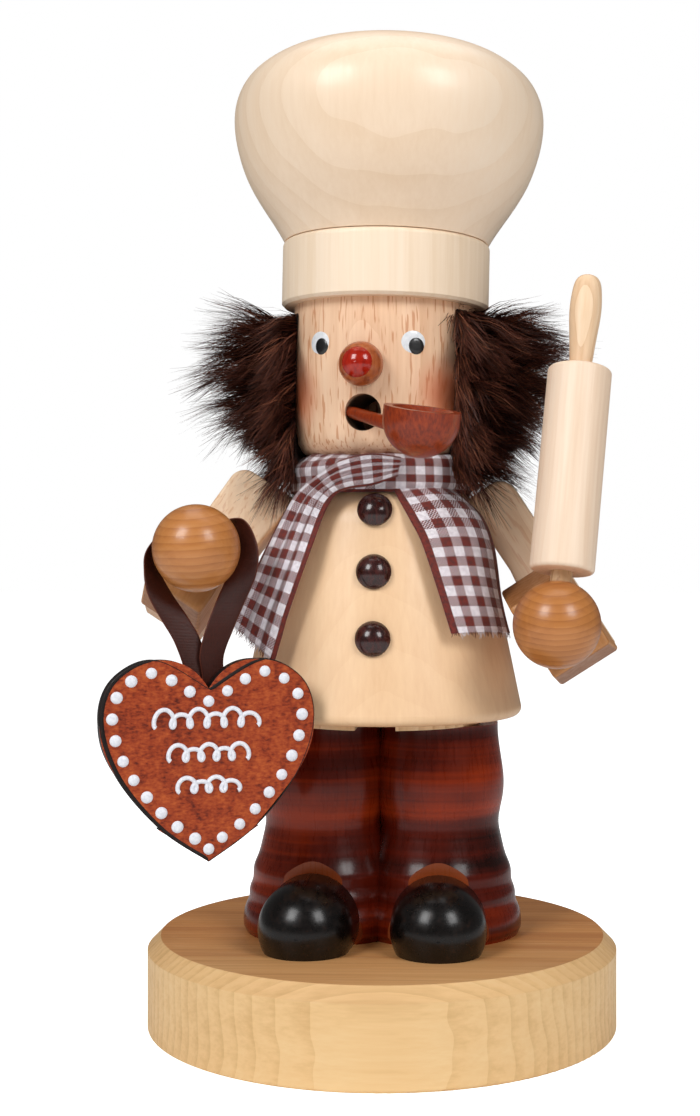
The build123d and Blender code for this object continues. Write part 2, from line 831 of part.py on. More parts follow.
# Nose: a ball on a peg, cut flat in front for the lacquered tip
nose_frame = face_frame(nose_h)
with BuildPart() as nose_boss:
    with BuildSketch(side_plane(nose_frame, head_r + nose_stand)):
        with BuildLine():
            arc = ThreePointArc((0, -nose_r), (nose_r, 0), (0, nose_r))
            Line(arc @ 1, arc @ 0)
        make_face()
    revolve(axis=axis_of(nose_frame))
    split(bisect_by=nose_frame.offset(head_r + nose_stand + nose_flat), keep=Keep.BOTTOM)
    with BuildSketch(head_frame):
        Circle(head_r + cope_gap)
    extrude(amount=head_h, mode=Mode.SUBTRACT)
    with BuildSketch(nose_frame.offset(head_r + nose_stand)):
        Circle(nose_peg_r)
    extrude(amount=-nose_stand - nose_peg_l)
nose_boss.part.label = "nose_boss"
export_step(nose_boss.part, "parts/nose_boss.step")

with BuildPart() as nose_tip:
    with BuildSketch(side_plane(nose_frame, head_r + nose_stand + nose_flat)):
        with BuildLine():
            foot = Line((0, 0), (nose_tip_r, 0))
            dome = ThreePointArc(foot @ 1, cap_middle(nose_tip_r, 0, nose_tip_h), (0, nose_tip_h))
            Line(dome @ 1, (0, 0))
        make_face()
    revolve(axis=axis_of(nose_frame))
nose_tip.part.label = "nose_tip"
export_step(nose_tip.part, "parts/nose_tip.step")


# Pipe: tapered stem with a peg in the mouth, and a half-ball bowl with a dished top
with BuildPart() as pipe_stem:
    with BuildSketch(side_plane(pipe_frame())):
        with BuildLine():
            Polyline(
                (0, -pipe_peg),
                (pipe_peg_r, -pipe_peg),
                (pipe_peg_r, 0),
                (pipe_tip_r, 0),
                (pipe_end_r, stem_l - bowl_r),
                (pipe_end_r, stem_l - bowl_r + bowl_socket),
                (0, stem_l - bowl_r + bowl_socket),
                close=True,
            )
        make_face()
    revolve(axis=axis_of(pipe_frame()))
pipe_stem.part.label = "pipe_stem"
export_step(pipe_stem.part, "parts/pipe_stem.step")


def bowl_frame():
    """Frame at the centre of the bowl's ball, above the stem's end, with Z up its leaning axis."""
    stem = pipe_frame()
    centre = stem.origin + stem.z_dir * stem_l + Vector(0, 0, bowl_rise)
    outward = Vector(stem.z_dir.X, stem.z_dir.Y, 0).normalized()
    axis = outward * sin(radians(bowl_lean)) + Vector(0, 0, cos(radians(bowl_lean)))
    return Plane(origin=centre, x_dir=squared(Vector(1, 0, 0), axis), z_dir=axis)


with BuildPart() as pipe_bowl:
    with BuildSketch(side_plane(bowl_frame())):
        with BuildLine():
            arc = ThreePointArc((0, -bowl_r), (bowl_r * diagonal, -bowl_r * diagonal), (bowl_r, 0))
            Polyline(
                arc @ 1,
                (bowl_r, bowl_wall_h),
                (bowl_dish_r, bowl_wall_h),
                (bowl_dish_r - bowl_dish, bowl_wall_h - bowl_dish),
                (0, bowl_wall_h - bowl_dish),
                arc @ 0,
            )
        make_face()
    revolve(axis=axis_of(bowl_frame()))
    with BuildSketch(pipe_frame().offset(stem_l - bowl_r - overrun)):
        Circle(pipe_end_r + glue_gap)
    extrude(amount=overrun + bowl_socket + glue_gap, mode=Mode.SUBTRACT)
pipe_bowl.part.label = "pipe_bowl"
export_step(pipe_bowl.part, "parts/pipe_bowl.step")


# Hat band: straight ring seated on the head's spigot
with BuildPart() as hat_band:
    with BuildSketch(hat_frame):
        Circle(band_r)
    extrude(amount=band_h)
    band_ends = hat_band.faces().sort_by(axis_of(hat_frame))
    chamfer(band_ends[0].edges(), band_foot_chamfer)
    fillet(hat_band.faces().sort_by(axis_of(hat_frame))[-1].edges(), band_top_round)
    with BuildSketch(hat_frame):
        Circle(head_spigot_r + glue_gap)
    extrude(amount=head_spigot_h + glue_gap, mode=Mode.SUBTRACT)
    with BuildSketch(dome_frame):
        Circle(hat_dowel_r + glue_gap)
    extrude(amount=-hat_dowel_depth - glue_gap, mode=Mode.SUBTRACT)
hat_band.part.label = "hat_band"
export_step(hat_band.part, "parts/hat_band.step")


# Hat dome: mushroom-shaped turning, a little proud of its neck
with BuildPart() as hat_dome:
    with BuildSketch(side_plane(dome_frame)):
        with BuildLine():
            points = [(r * dome_r, h * dome_h) for r, h in zip(dome_radius_shares, dome_height_shares)]
            start = (cos(radians(dome_start_slope)), sin(radians(dome_start_slope)))
            puff = Spline(*points, (0, dome_h), tangents=[start, (-1, 0)])
            Polyline(puff @ 1, (0, 0), puff @ 0)
        make_face()
    revolve(axis=axis_of(dome_frame))
    with BuildSketch(dome_frame):
        Circle(hat_dowel_r + glue_gap)
    extrude(amount=hat_dowel_depth + glue_gap, mode=Mode.SUBTRACT)
hat_dome.part.label = "hat_dome"
export_step(hat_dome.part, "parts/hat_dome.step")

with BuildPart() as hat_dowel:
    with BuildSketch(dome_frame):
        Circle(hat_dowel_r)
    extrude(amount=hat_dowel_depth, both=True)
hat_dowel.part.label = "hat_dowel"
export_step(hat_dowel.part, "parts/hat_dowel.step")


# Rolling pin: foot dowel, barrel and turned handle on one axis
pin_foot_z = hand_r + pin_neck_show
with BuildPart() as pin_barrel:
    with BuildSketch(pin_frame().offset(pin_foot_z)):
        Circle(pin_r)
    extrude(amount=pin_l)
    fillet(pin_barrel.edges(), pin_edge_round)
    with BuildSketch(pin_frame().offset(pin_foot_z)):
        Circle(pin_neck_r + glue_gap)
    extrude(amount=pin_handle_peg + glue_gap, mode=Mode.SUBTRACT)
    with BuildSketch(pin_frame().offset(pin_foot_z + pin_l)):
        Circle(pin_handle_neck_r + glue_gap)
    extrude(amount=-pin_handle_peg - glue_gap, mode=Mode.SUBTRACT)
pin_barrel.part.label = "pin_barrel"
export_step(pin_barrel.part, "parts/pin_barrel.step")

with BuildPart() as pin_foot:
    with BuildSketch(pin_frame().offset(hand_r - pin_neck_depth)):
        Circle(pin_neck_r)
    extrude(amount=pin_neck_depth + pin_neck_show + pin_handle_peg)
pin_foot.part.label = "pin_foot"
export_step(pin_foot.part, "parts/pin_foot.step")

with BuildPart() as pin_handle:
    with BuildSketch(side_plane(pin_frame(), pin_foot_z + pin_l)):
        with BuildLine():
            shares = zip(pin_handle_radius_shares, pin_handle_height_shares)
            points = [(r * pin_handle_r, h * pin_handle_l) for r, h in shares]
            grip = Spline(*points, (0, pin_handle_l), tangents=[(0, 1), (-1, 0)])
            Polyline(grip @ 1, (0, -pin_handle_peg), (points[0][0], -pin_handle_peg), grip @ 0)
        make_face()
    revolve(axis=axis_of(pin_frame()))
pin_handle.part.label = "pin_handle"
export_step(pin_handle.part, "parts/pin_handle.step")


def heart_frame():
    """Frame of the heart's back face: origin at the tip, Y up, Z out of the heart."""
    turn = radians(heart_turn)
    normal = Vector(sin(turn), -cos(turn), 0)
    origin = above_foot(heart_x, heart_y, -heart_tip_drop) - normal * heart_t
    return Plane(origin=origin, x_dir=(cos(turn), sin(turn), 0), z_dir=normal)


# Heart: two mirrored splines from the notch over a lobe to the tip
with BuildPart() as heart:
    with BuildSketch(heart_frame()):
        for side in (-1, 1):
            lobe_points = [
                (side * x * heart_w / 2, z * heart_h) for x, z in zip(heart_x_shares, heart_z_shares)
            ]
            notch = (0, heart_notch_share * heart_h)
            rise = (side * cos(radians(heart_notch_slope)), sin(radians(heart_notch_slope)))
            dip = (-side * cos(radians(heart_tip_slope)), -sin(radians(heart_tip_slope)))
            with BuildLine():
                lobe = Spline(notch, *lobe_points, (0, 0), tangents=[rise, dip])
                Line(lobe @ 1, lobe @ 0)
            make_face()
    extrude(amount=heart_t)
heart.part.label = "heart"
export_step(heart.part, "parts/heart.step")


# Ribbon: a bend over the wrist and two strands that twist down to the back of the heart
with BuildPart() as ribbon_loop:
    with BuildSketch(arm_frame(-1).offset(ribbon_wrist_n)):
        with BuildLine():
            Polyline(
                (-ribbon_loop_u, ribbon_loop_inner_v),
                (-ribbon_loop_u, -ribbon_loop_v),
                (ribbon_loop_foot_u, -ribbon_loop_v),
                (ribbon_loop_foot_u, -ribbon_loop_v - ribbon_t),
                (-ribbon_loop_u - ribbon_t, -ribbon_loop_v - ribbon_t),
                (-ribbon_loop_u - ribbon_t, ribbon_loop_inner_v),
                close=True,
            )
        make_face()
    extrude(amount=ribbon_w)
ribbon_loop.part.label = "ribbon_loop"
export_step(ribbon_loop.part, "parts/ribbon_loop.step")


def ribbon_stations(side):
    """Places and cross directions of one strand, from the wrist down behind the heart."""
    arm = arm_frame(-1)
    board = heart_frame()
    middle_n = ribbon_wrist_n + ribbon_w / 2
    notch_y = heart_notch_share * heart_h
    depth = -ribbon_glue_gap - ribbon_t / 2
    if side < 0:
        start = Vector(ribbon_loop_foot_u + ribbon_joint, -ribbon_loop_v - ribbon_t / 2, middle_n)
        middle, meet = ribbon_left_middle, ribbon_left_meet
        depth = depth - ribbon_end_back
    else:
        start = Vector(-ribbon_loop_u - ribbon_t / 2, ribbon_loop_inner_v + ribbon_joint, middle_n)
        middle, meet = ribbon_right_middle, ribbon_right_meet
    across_start = arm.z_dir
    across_end = board.x_dir * -side
    across_middle = (across_start + across_end).normalized()
    notch = board.from_local_coords(Vector(side * ribbon_end_shift, notch_y + ribbon_notch_rise, depth))
    end = board.from_local_coords(Vector(side * ribbon_end_shift, notch_y - ribbon_end_drop, depth))
    return [
        (arm.from_local_coords(start), across_start, ribbon_w),
        (above_foot(*middle), across_middle, ribbon_w),
        (above_foot(*meet), across_end, (ribbon_w + ribbon_end_w) / 2),
        (notch, across_end, ribbon_end_w),
        (end, across_end, ribbon_end_w),
    ]


def make_strand(side, name):
    stations = ribbon_stations(side)
    with BuildPart() as strand:
        for index, (place, across, width) in enumerate(stations):
            before = stations[max(index - 1, 0)][0]
            after = stations[min(index + 1, len(stations) - 1)][0]
            along = squared(after - before, across)
            with BuildSketch(Plane(origin=place, x_dir=across, z_dir=along)):
                Rectangle(width, ribbon_t)
        loft()
    strand.part.label = name
    export_step(strand.part, f"parts/{name}.step")


make_strand(-1, "ribbon_left")
make_strand(1, "ribbon_right")


# Scarf collar: a soft ring lying on the bell's shoulder under the chin
with BuildPart() as scarf_collar:
    with BuildSketch(Plane.XZ):
        under = shoulder_r + collar_gap
        foot_turn = asin(sqrt(under**2 - (collar_foot_r - shoulder_centre_r) ** 2) / under)
        half_turn = (foot_turn + radians(90)) / 2
        foot_z = shoulder_centre_z + under * sin(foot_turn)
        with BuildLine():
            outer = ThreePointArc(
                (collar_top_r, jacket_top_z + collar_top_h),
                (collar_out_r, jacket_top_z + collar_out_h),
                (collar_foot_r, foot_z),
            )
            inner = ThreePointArc(
                outer @ 1,
                (shoulder_centre_r + under * cos(half_turn), shoulder_centre_z + under * sin(half_turn)),
                (shoulder_centre_r, shoulder_centre_z + under),
            )
            Polyline(
                inner @ 1,
                (collar_in_r, shoulder_centre_z + under),
                (collar_in_r, jacket_top_z + collar_flat_h),
                (collar_flat_r, jacket_top_z + collar_flat_h),
                outer @ 0,
            )
        make_face()
    revolve(axis=Axis.Z)
scarf_collar.part.label = "scarf_collar"
export_step(scarf_collar.part, "parts/scarf_collar.step")

# Scarf knot: the crossing in front of the collar
knot_radial = turned(Vector(0, -1, 0), -knot_left)
knot_z = jacket_top_z - knot_foot_drop
knot_section = Plane(origin=(0, 0, knot_z), x_dir=knot_radial, z_dir=knot_radial.cross(Vector(0, 0, 1)))
with BuildPart() as scarf_knot:
    with BuildSketch(knot_section):
        with BuildLine():
            back_r = collar_out_r + seat_gap
            bulge = ThreePointArc((back_r, 0), (back_r + knot_t, knot_h / 2), (back_r, knot_h))
            Line(bulge @ 1, bulge @ 0)
        make_face()
    revolve(axis=Axis.Z, revolution_arc=knot_arc)
scarf_knot.part.label = "scarf_knot"
export_step(scarf_knot.part, "parts/scarf_knot.step")


# Scarf tails: folded cloth lofted through arcs between its two edges
def make_tail(left_edge, right_edge, folds, depth, name):
    with BuildPart() as tail:
        for left, right in zip(left_edge, right_edge):
            left_end = above_foot(*left)
            right_end = above_foot(*right)
            width = (right_end - left_end).length
            across = (right_end - left_end).normalized()
            outward = squared(Vector(left[0] + right[0], left[1] + right[1], 0), across)
            step = width / folds
            with BuildSketch(Plane(origin=left_end, x_dir=across, z_dir=across.cross(outward))):
                with BuildLine():
                    for index in range(folds):
                        bulge = depth if index % 2 == 0 else -depth
                        start = index * step
                        middle = start + step / 2
                        ThreePointArc((start, 0), (middle, bulge), (start + step, 0))
                        ThreePointArc((start, -scarf_t), (middle, bulge - scarf_t), (start + step, -scarf_t))
                    Line((0, 0), (0, -scarf_t))
                    Line((width, 0), (width, -scarf_t))
                make_face()
        loft()
    tail.part.label = name
    export_step(tail.part, f"parts/{name}.step")


make_tail(left_tail_left, left_tail_right, left_tail_folds, scarf_fold, "scarf_tail_left")
make_tail(right_tail_left, right_tail_right, right_tail_folds, scarf_bow, "scarf_tail_right")


# Hair: one soft mass round the head, cut open for the face and parted into three strips
def make_hair(low_x, high_x, name):
    hair_foot_z = head_z - hair_foot_drop
    hair_h = head_z + head_h - hair_top_gap - hair_foot_z
    with BuildPart() as hair:
        for share, height in zip(hair_side_shares, hair_height_shares):
            with BuildSketch(Plane.XY.offset(hair_foot_z + height * hair_h)):
                with Locations((0, hair_shift_y)):
                    Ellipse(hair_r_x * share, hair_r_y * share)
        loft()
        with BuildSketch(head_frame.offset(-head_h)):
            Circle(head_r + hair_gap)
        extrude(amount=head_h * 3, mode=Mode.SUBTRACT)
        split(bisect_by=face_frame(0).offset(hair_front_y), keep=Keep.BOTTOM)
        if low_x is not None:
            split(bisect_by=Plane.YZ.offset(low_x), keep=Keep.TOP)
        if high_x is not None:
            split(bisect_by=Plane.YZ.offset(high_x), keep=Keep.BOTTOM)
    hair.part.label = name
    export_step(hair.part, f"parts/{name}.step")


make_hair(None, -hair_back_x - hair_split, "hair_left")
make_hair(-hair_back_x, hair_back_x, "hair_back")
make_hair(hair_back_x + hair_split, None, "hair_right")
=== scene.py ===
import math
import random

import bpy
from mathutils import Matrix, Vector, noise
from mathutils.bvhtree import BVHTree


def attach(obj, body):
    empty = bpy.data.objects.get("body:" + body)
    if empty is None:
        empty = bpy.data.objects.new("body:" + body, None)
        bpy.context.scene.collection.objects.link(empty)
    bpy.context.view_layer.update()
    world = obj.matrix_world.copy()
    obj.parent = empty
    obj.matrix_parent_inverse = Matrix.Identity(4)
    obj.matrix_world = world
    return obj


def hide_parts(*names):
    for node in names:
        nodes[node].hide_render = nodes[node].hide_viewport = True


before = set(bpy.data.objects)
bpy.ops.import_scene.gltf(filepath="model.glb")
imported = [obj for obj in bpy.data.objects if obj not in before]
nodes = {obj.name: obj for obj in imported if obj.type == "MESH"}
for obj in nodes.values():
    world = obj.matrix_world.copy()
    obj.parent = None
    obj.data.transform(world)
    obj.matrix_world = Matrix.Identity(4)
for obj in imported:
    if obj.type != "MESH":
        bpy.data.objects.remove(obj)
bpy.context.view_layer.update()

MM = 0.001


def mm(x, y, z=0.0):
    """A place or direction given in millimetres."""
    return Vector((x * MM, y * MM, z * MM))


# Sizes repeated from the CAD source, in millimetres
HEAD_Z = 167.955
HEAD_LEAN = 1.2
HEAD_YAW = 8.7
ARM_FALL = 57.0
LEFT_ELBOW = (-52.4, -16.5, 133.5)
LEFT_ARM_YAW = 8.4
LEFT_ARM_LIFT = 14.2
PIN_AXIS = (0.0957, 0.1934, 0.9765)
HEART_W = 58.8
HEART_H = 54.6
HEART_T = 4.5
HEART_TURN = 21.0
HEART_TIP = (-43.2, -54.1, 56.8)
HEART_NOTCH = 0.857
HEART_X_SHARES = (0.49, 0.88, 1.00, 0.84, 0.45)
HEART_Z_SHARES = (1.00, 0.905, 0.70, 0.43, 0.170)

# Sizes of the woven ribbon, in millimetres: whole width, solid edge, one light and one dark stripe, thickness
CLOTH_WIDE = 24.0
SELVEDGE = 2.0
CHECK = 5.714
CLOTH_THICK = 0.45


# Camera, lights and floor. The room shines at full white to the camera and softly on the figure.
CAMERA_TURN = 4
ROOM_GLOW = 0.12
FLOOR_REACH = 6.0


def place_camera():
    """Camera level with the jacket and a little to the picture's right, as the photograph was taken."""
    data = bpy.data.cameras.new("camera")
    data.lens = 53.125
    data.sensor_width = 36.0
    data.shift_x = -0.0287
    data.clip_start = 0.01
    camera = bpy.data.objects.new("camera", data)
    camera.location = (0.03463, -0.49524, 0.13893)
    camera.rotation_euler = (math.radians(90), 0, math.radians(CAMERA_TURN))
    bpy.context.scene.collection.objects.link(camera)
    bpy.context.scene.camera = camera


def soft_light(name, place, target, size, power):
    """A square studio lamp that shines from a place at a target, in metres and watts."""
    data = bpy.data.lights.new(name, "AREA")
    data.shape = "RECTANGLE"
    data.size, data.size_y = size
    data.energy = power
    lamp = bpy.data.objects.new(name, data)
    lamp.location = place
    lamp.rotation_euler = (Vector(target) - Vector(place)).to_track_quat("-Z", "Y").to_euler()
    bpy.context.scene.collection.objects.link(lamp)


def studio():
    """Two large softboxes in front, a top light, a white room and a pale floor, shown without a film look."""
    bpy.context.scene.view_settings.view_transform = "Standard"
    soft_light("softbox_left", (-0.60, -0.82, 0.85), (0, 0, 0.13), (0.46, 0.56), 8.4)
    soft_light("softbox_right", (0.72, -0.80, 0.84), (0, 0, 0.15), (0.42, 0.54), 6.8)
    soft_light("top_light", (0.0, 0.15, 1.0), (0, 0, 0.1), (0.7, 0.7), 2.2)
    world = bpy.data.worlds.new("white_room")
    world.use_nodes = True
    seen = add(world.node_tree, "ShaderNodeLightPath", out="Is Camera Ray")
    lit = add(world.node_tree, "ShaderNodeMapRange", {0: seen, 3: ROOM_GLOW, 4: 1.0})
    back = world.node_tree.nodes["Background"]
    feed(world.node_tree, back, {"Color": (1.0, 1.0, 1.0, 1.0), "Strength": lit})
    bpy.context.scene.world = world
    floor_mesh = bpy.data.meshes.new("floor")
    corners = ((-1, -1), (1, -1), (1, 1), (-1, 1))
    floor_mesh.from_pydata([(x * FLOOR_REACH, y * FLOOR_REACH, 0) for x, y in corners], [], [(0, 1, 2, 3)])
    floor = bpy.data.objects.new("floor", floor_mesh)
    bpy.context.scene.collection.objects.link(floor)
    floor.data.materials.append(floor_paper())


# Node helpers
def colour(code):
    """Linear colour for an sRGB hex code."""
    parts = [int(code[i : i + 2], 16) / 255 for i in (0, 2, 4)]
    return tuple(p / 12.92 if p <= 0.04045 else ((p + 0.055) / 1.055) ** 2.4 for p in parts) + (1.0,)


def new_material(name):
    """A new material with its own shader node, ready for inputs."""
    made = bpy.data.materials.new(name)
    made.use_nodes = True
    return made


def feed(tree, node, inputs):
    """Gives a node its inputs: one given as a socket is linked, any other is set."""
    for key, value in inputs.items():
        if isinstance(value, bpy.types.NodeSocket):
            tree.links.new(value, node.inputs[key])
        else:
            node.inputs[key].default_value = value


def add(made, kind, inputs=None, out=0, stops=None, **settings):
    """Adds a node with its settings and links, and gives one of its outputs. Stops are a colour ramp's."""
    tree = made.node_tree if isinstance(made, bpy.types.Material) else made
    fresh = tree.nodes.new(kind)
    for key, value in settings.items():
        setattr(fresh, key, value)
    feed(tree, fresh, inputs or {})
    for i, (place, code) in enumerate(stops or ()):
        element = fresh.color_ramp.elements[i] if i < 2 else fresh.color_ramp.elements.new(place)
        element.position = place
        element.color = colour(code)
    return fresh.outputs[out]


def pattern(made, where, sizes, detail=2.0, rough=0.5, distortion=0.0, out=0):
    """Soft irregular clouds that are this many millimetres long in X, Y and Z."""
    counts = tuple(1 / (size * MM) for size in sizes)
    stretched = add(made, "ShaderNodeVectorMath", {0: where, 1: counts}, operation="MULTIPLY")
    inputs = {"Vector": stretched, "Scale": 1.0, "Detail": detail, "Roughness": rough, "Distortion": distortion}
    return add(made, "ShaderNodeTexNoise", inputs, out=out)


def blended(made, *parts):
    """Sum of patterns, each by its own share, kept between 0 and 1."""
    total = 0.0
    for i, (part, share) in enumerate(parts, 1):
        inputs = {0: part, 1: share, 2: total}
        total = add(made, "ShaderNodeMath", inputs, operation="MULTIPLY_ADD", use_clamp=i == len(parts))
    return total


def finish_shader(made, tone, follow, rough, relief=None, edge=0.0, span=(0.3, 0.7), more=None):
    """Gives a material's own shader its colour, a roughness that follows a pattern, its relief and other inputs.

    The roughness goes from the first value to the second while the pattern goes through its span. The relief is
    a height, its strength and its depth in metres; the edge is the radius of eased edges in millimetres.
    """
    inputs = {"Base Color": tone}
    ends = {0: follow, 1: span[0], 2: span[1], 3: rough[0], 4: rough[1]}
    inputs["Roughness"] = add(made, "ShaderNodeMapRange", ends, interpolation_type="SMOOTHSTEP")
    if relief:
        bump = dict(zip(("Height", "Strength", "Distance"), relief))
        if edge:
            bump["Normal"] = add(made, "ShaderNodeBevel", {"Radius": edge * MM}, samples=4)
        inputs["Normal"] = add(made, "ShaderNodeBump", bump)
    feed(made.node_tree, made.node_tree.nodes["Principled BSDF"], {**inputs, **(more or {})})
    return made


def patterned(name, sizes, stops, rough, relief=None, edge=0.0, detail=2.0, grit=0.5, more=None):
    """A material whose one pattern gives its colour, its roughness and, by a strength and depth, its relief."""
    made = new_material(name)
    here = add(made, "ShaderNodeTexCoord", out="Object")
    spots = pattern(made, here, sizes, detail, grit)
    tone = add(made, "ShaderNodeValToRGB", {0: spots}, stops=stops)
    return finish_shader(made, tone, spots, rough, relief and (spots, *relief), edge, more=more)


def retoned(made, shares, code, blend="MIX"):
    """Lays a colour over a material's own colour by the product of some shares."""
    share = shares[0]
    for factor in shares[1:]:
        share = add(made, "ShaderNodeMath", {0: share, 1: factor}, operation="MULTIPLY")
    shader = made.node_tree.nodes["Principled BSDF"]
    under = shader.inputs["Base Color"].links[0].from_socket
    inputs = {0: share, 6: under, 7: colour(code)}
    laid = add(made, "ShaderNodeMix", inputs, out=2, data_type="RGBA", blend_type=blend, clamp_result=True)
    feed(made.node_tree, shader, {"Base Color": laid})
    return made


def along_grain(made, grain, core):
    """Object coordinates turned so that Z runs along the grain and the tree's core is at the origin."""
    spot = add(made, "ShaderNodeTexCoord", out="Object")
    turn = Vector(grain).normalized().rotation_difference(Vector((0, 0, 1)))
    place = turn @ (Vector(core) * MM)
    settings = {"Vector": spot, "Location": -place, "Rotation": turn.to_euler()}
    return add(made, "ShaderNodeMapping", settings, vector_type="POINT")


def near_spot(made, spot, core, reach, most=1.0):
    """A share that is highest round a place on the object and fades to 0 between two distances in metres."""
    here = add(made, "ShaderNodeTexCoord", out="Object")
    away = add(made, "ShaderNodeVectorMath", {0: here, 1: tuple(spot)}, operation="DISTANCE", out="Value")
    ends = {0: away, 1: core, 2: reach, 3: most, 4: 0.0}
    return add(made, "ShaderNodeMapRange", ends, interpolation_type="SMOOTHSTEP")


def facing_share(made, direction, low, high):
    """1 where a surface faces a direction in the object's own frame."""
    normal = add(made, "ShaderNodeTexCoord", out="Normal")
    inputs = {0: normal, 1: tuple(direction)}
    towards = add(made, "ShaderNodeVectorMath", inputs, operation="DOT_PRODUCT", out="Value")
    return add(made, "ShaderNodeMapRange", {0: towards, 1: low, 2: high}, interpolation_type="SMOOTHSTEP")


# Wood. A wave texture at scale 1 has this many metres from ring to ring.
WAVE_PERIOD = 0.314


def wood(name, tones, grain=(0, 0, 1), core=(14, 55, 0), ring=2.6, ring_share=0.45, fibre_share=0.35,
         cloud_share=0.3, flecks=0.0, end_dark=0.25, rough=(0.38, 0.52), polish=0.0, edge=0.25):
    """Turned or sawn wood: growth rings round the tree's core, fibres, soft clouds, flecks and end grain.

    The core is a point on the tree's middle line, and the ring a year's growth, in millimetres. Real fibres are
    too fine to show, so they are drawn about a millimetre wide.
    """
    made = new_material(name)
    where = along_grain(made, grain, core)
    drift = pattern(made, where, (38.46, 38.46, 174.8), out="Color")
    pushed = add(made, "ShaderNodeVectorMath", {0: drift, 1: (0.5, 0.5, 0.5)}, operation="SUBTRACT")
    wander = add(made, "ShaderNodeVectorMath", {0: pushed, 1: (0.009, 0.009, 0.0)}, operation="MULTIPLY")
    bent = add(made, "ShaderNodeVectorMath", {0: where, 1: wander}, operation="ADD")
    waves = {"Vector": bent, "Scale": WAVE_PERIOD / (ring * MM), "Distortion": 0.6, "Detail Scale": 0.6}
    rings = {"wave_type": "RINGS", "rings_direction": "Z", "wave_profile": "SAW"}
    ringed = add(made, "ShaderNodeTexWave", waves, out="Fac", **rings)
    late = add(made, "ShaderNodeMath", {0: ringed, 1: 2.2}, operation="POWER")
    fibre = pattern(made, where, (1.111, 1.111, 31.75), 3.0, 0.6)
    coarse = pattern(made, where, (3.846, 3.846, 76.92))
    cloud = pattern(made, where, (45.45, 45.45, 151.5))
    both = blended(made, (fibre, 0.55), (coarse, 0.45))
    even = 0.5 - 0.35 * ring_share - 1.3 * fibre_share - cloud_share
    total = blended(made, (late, ring_share), (both, 2.6 * fibre_share), (cloud, 2.0 * cloud_share), (1.0, even))
    stops = [(0.0, tones[0]), (0.45, tones[1]), (1.0, tones[2])]
    tone = add(made, "ShaderNodeValToRGB", {0: total}, stops=stops)
    more = {"IOR": 1.48, "Coat Weight": polish, "Coat Roughness": 0.16, "Coat IOR": 1.48}
    finish_shader(made, tone, both, rough, (total, 0.10, 0.00012), edge, more=more)
    if flecks > 0:
        dashes = pattern(made, where, (0.769, 0.769, 8.547), 1.0)
        marks = add(made, "ShaderNodeMapRange", {0: dashes, 1: 0.58, 2: 0.66}, interpolation_type="SMOOTHSTEP")
        retoned(made, (marks, flecks), tones[2], "MULTIPLY")
    facing = add(made, "ShaderNodeNewGeometry", out="Normal")
    axis = tuple(Vector(grain).normalized())
    into = add(made, "ShaderNodeVectorMath", {0: facing, 1: axis}, operation="DOT_PRODUCT", out="Value")
    either = add(made, "ShaderNodeMath", {0: into}, operation="ABSOLUTE")
    end = add(made, "ShaderNodeMapRange", {0: either, 1: 0.72, 2: 1.0}, interpolation_type="SMOOTHSTEP")
    return retoned(made, (end, end_dark), tones[2], "MULTIPLY")


def pine_base():
    """Waxed board: pale grain on the rim, a browner top with fine scratches from dusting."""
    made = wood("waxed_board", ("f8d8a4", "eec68d", "c89a5f"), grain=(1, 0.06, 0.0), core=(0, 230, 20),
                ring=3.1, ring_share=0.21, fibre_share=0.30, cloud_share=0.30, end_dark=0.0, rough=(0.42, 0.55),
                edge=0.5)
    here = add(made, "ShaderNodeTexCoord", out="Object")
    top = facing_share(made, (0, 0, 1), 0.6, 0.95)
    depth = add(made, "ShaderNodeSeparateXYZ", {0: here}, out="Y")
    ends = {0: depth, 1: -0.068, 2: 0.0, 3: 0.42, 4: 0.78}
    darker_towards_back = add(made, "ShaderNodeMapRange", ends, interpolation_type="SMOOTHSTEP")
    # The top is browner than the rim, and darker towards the back.
    retoned(made, (top, darker_towards_back), "d09a5e", "MULTIPLY")
    streaks = pattern(made, here, (250, 10.53, 1000), rough=0.6)
    bands = add(made, "ShaderNodeMapRange", {0: streaks, 1: 0.42, 2: 0.66}, interpolation_type="SMOOTHSTEP")
    retoned(made, (bands, 0.34, top), "b98a58", "MULTIPLY")
    scratch = pattern(made, here, (11.11, 0.7143, 50), 1.0, distortion=0.8)
    marks = add(made, "ShaderNodeMapRange", {0: scratch, 1: 0.70, 2: 0.74}, interpolation_type="SMOOTHSTEP")
    return retoned(made, (marks, 0.22, top), "f7dcb4")


# Milled flats of the trousers, in metres: the plane on which they lie, and the height at which bare wood ends.
FLAT_DEPTH = 0.0199
FLAT_TOP = (0.056, 0.060)


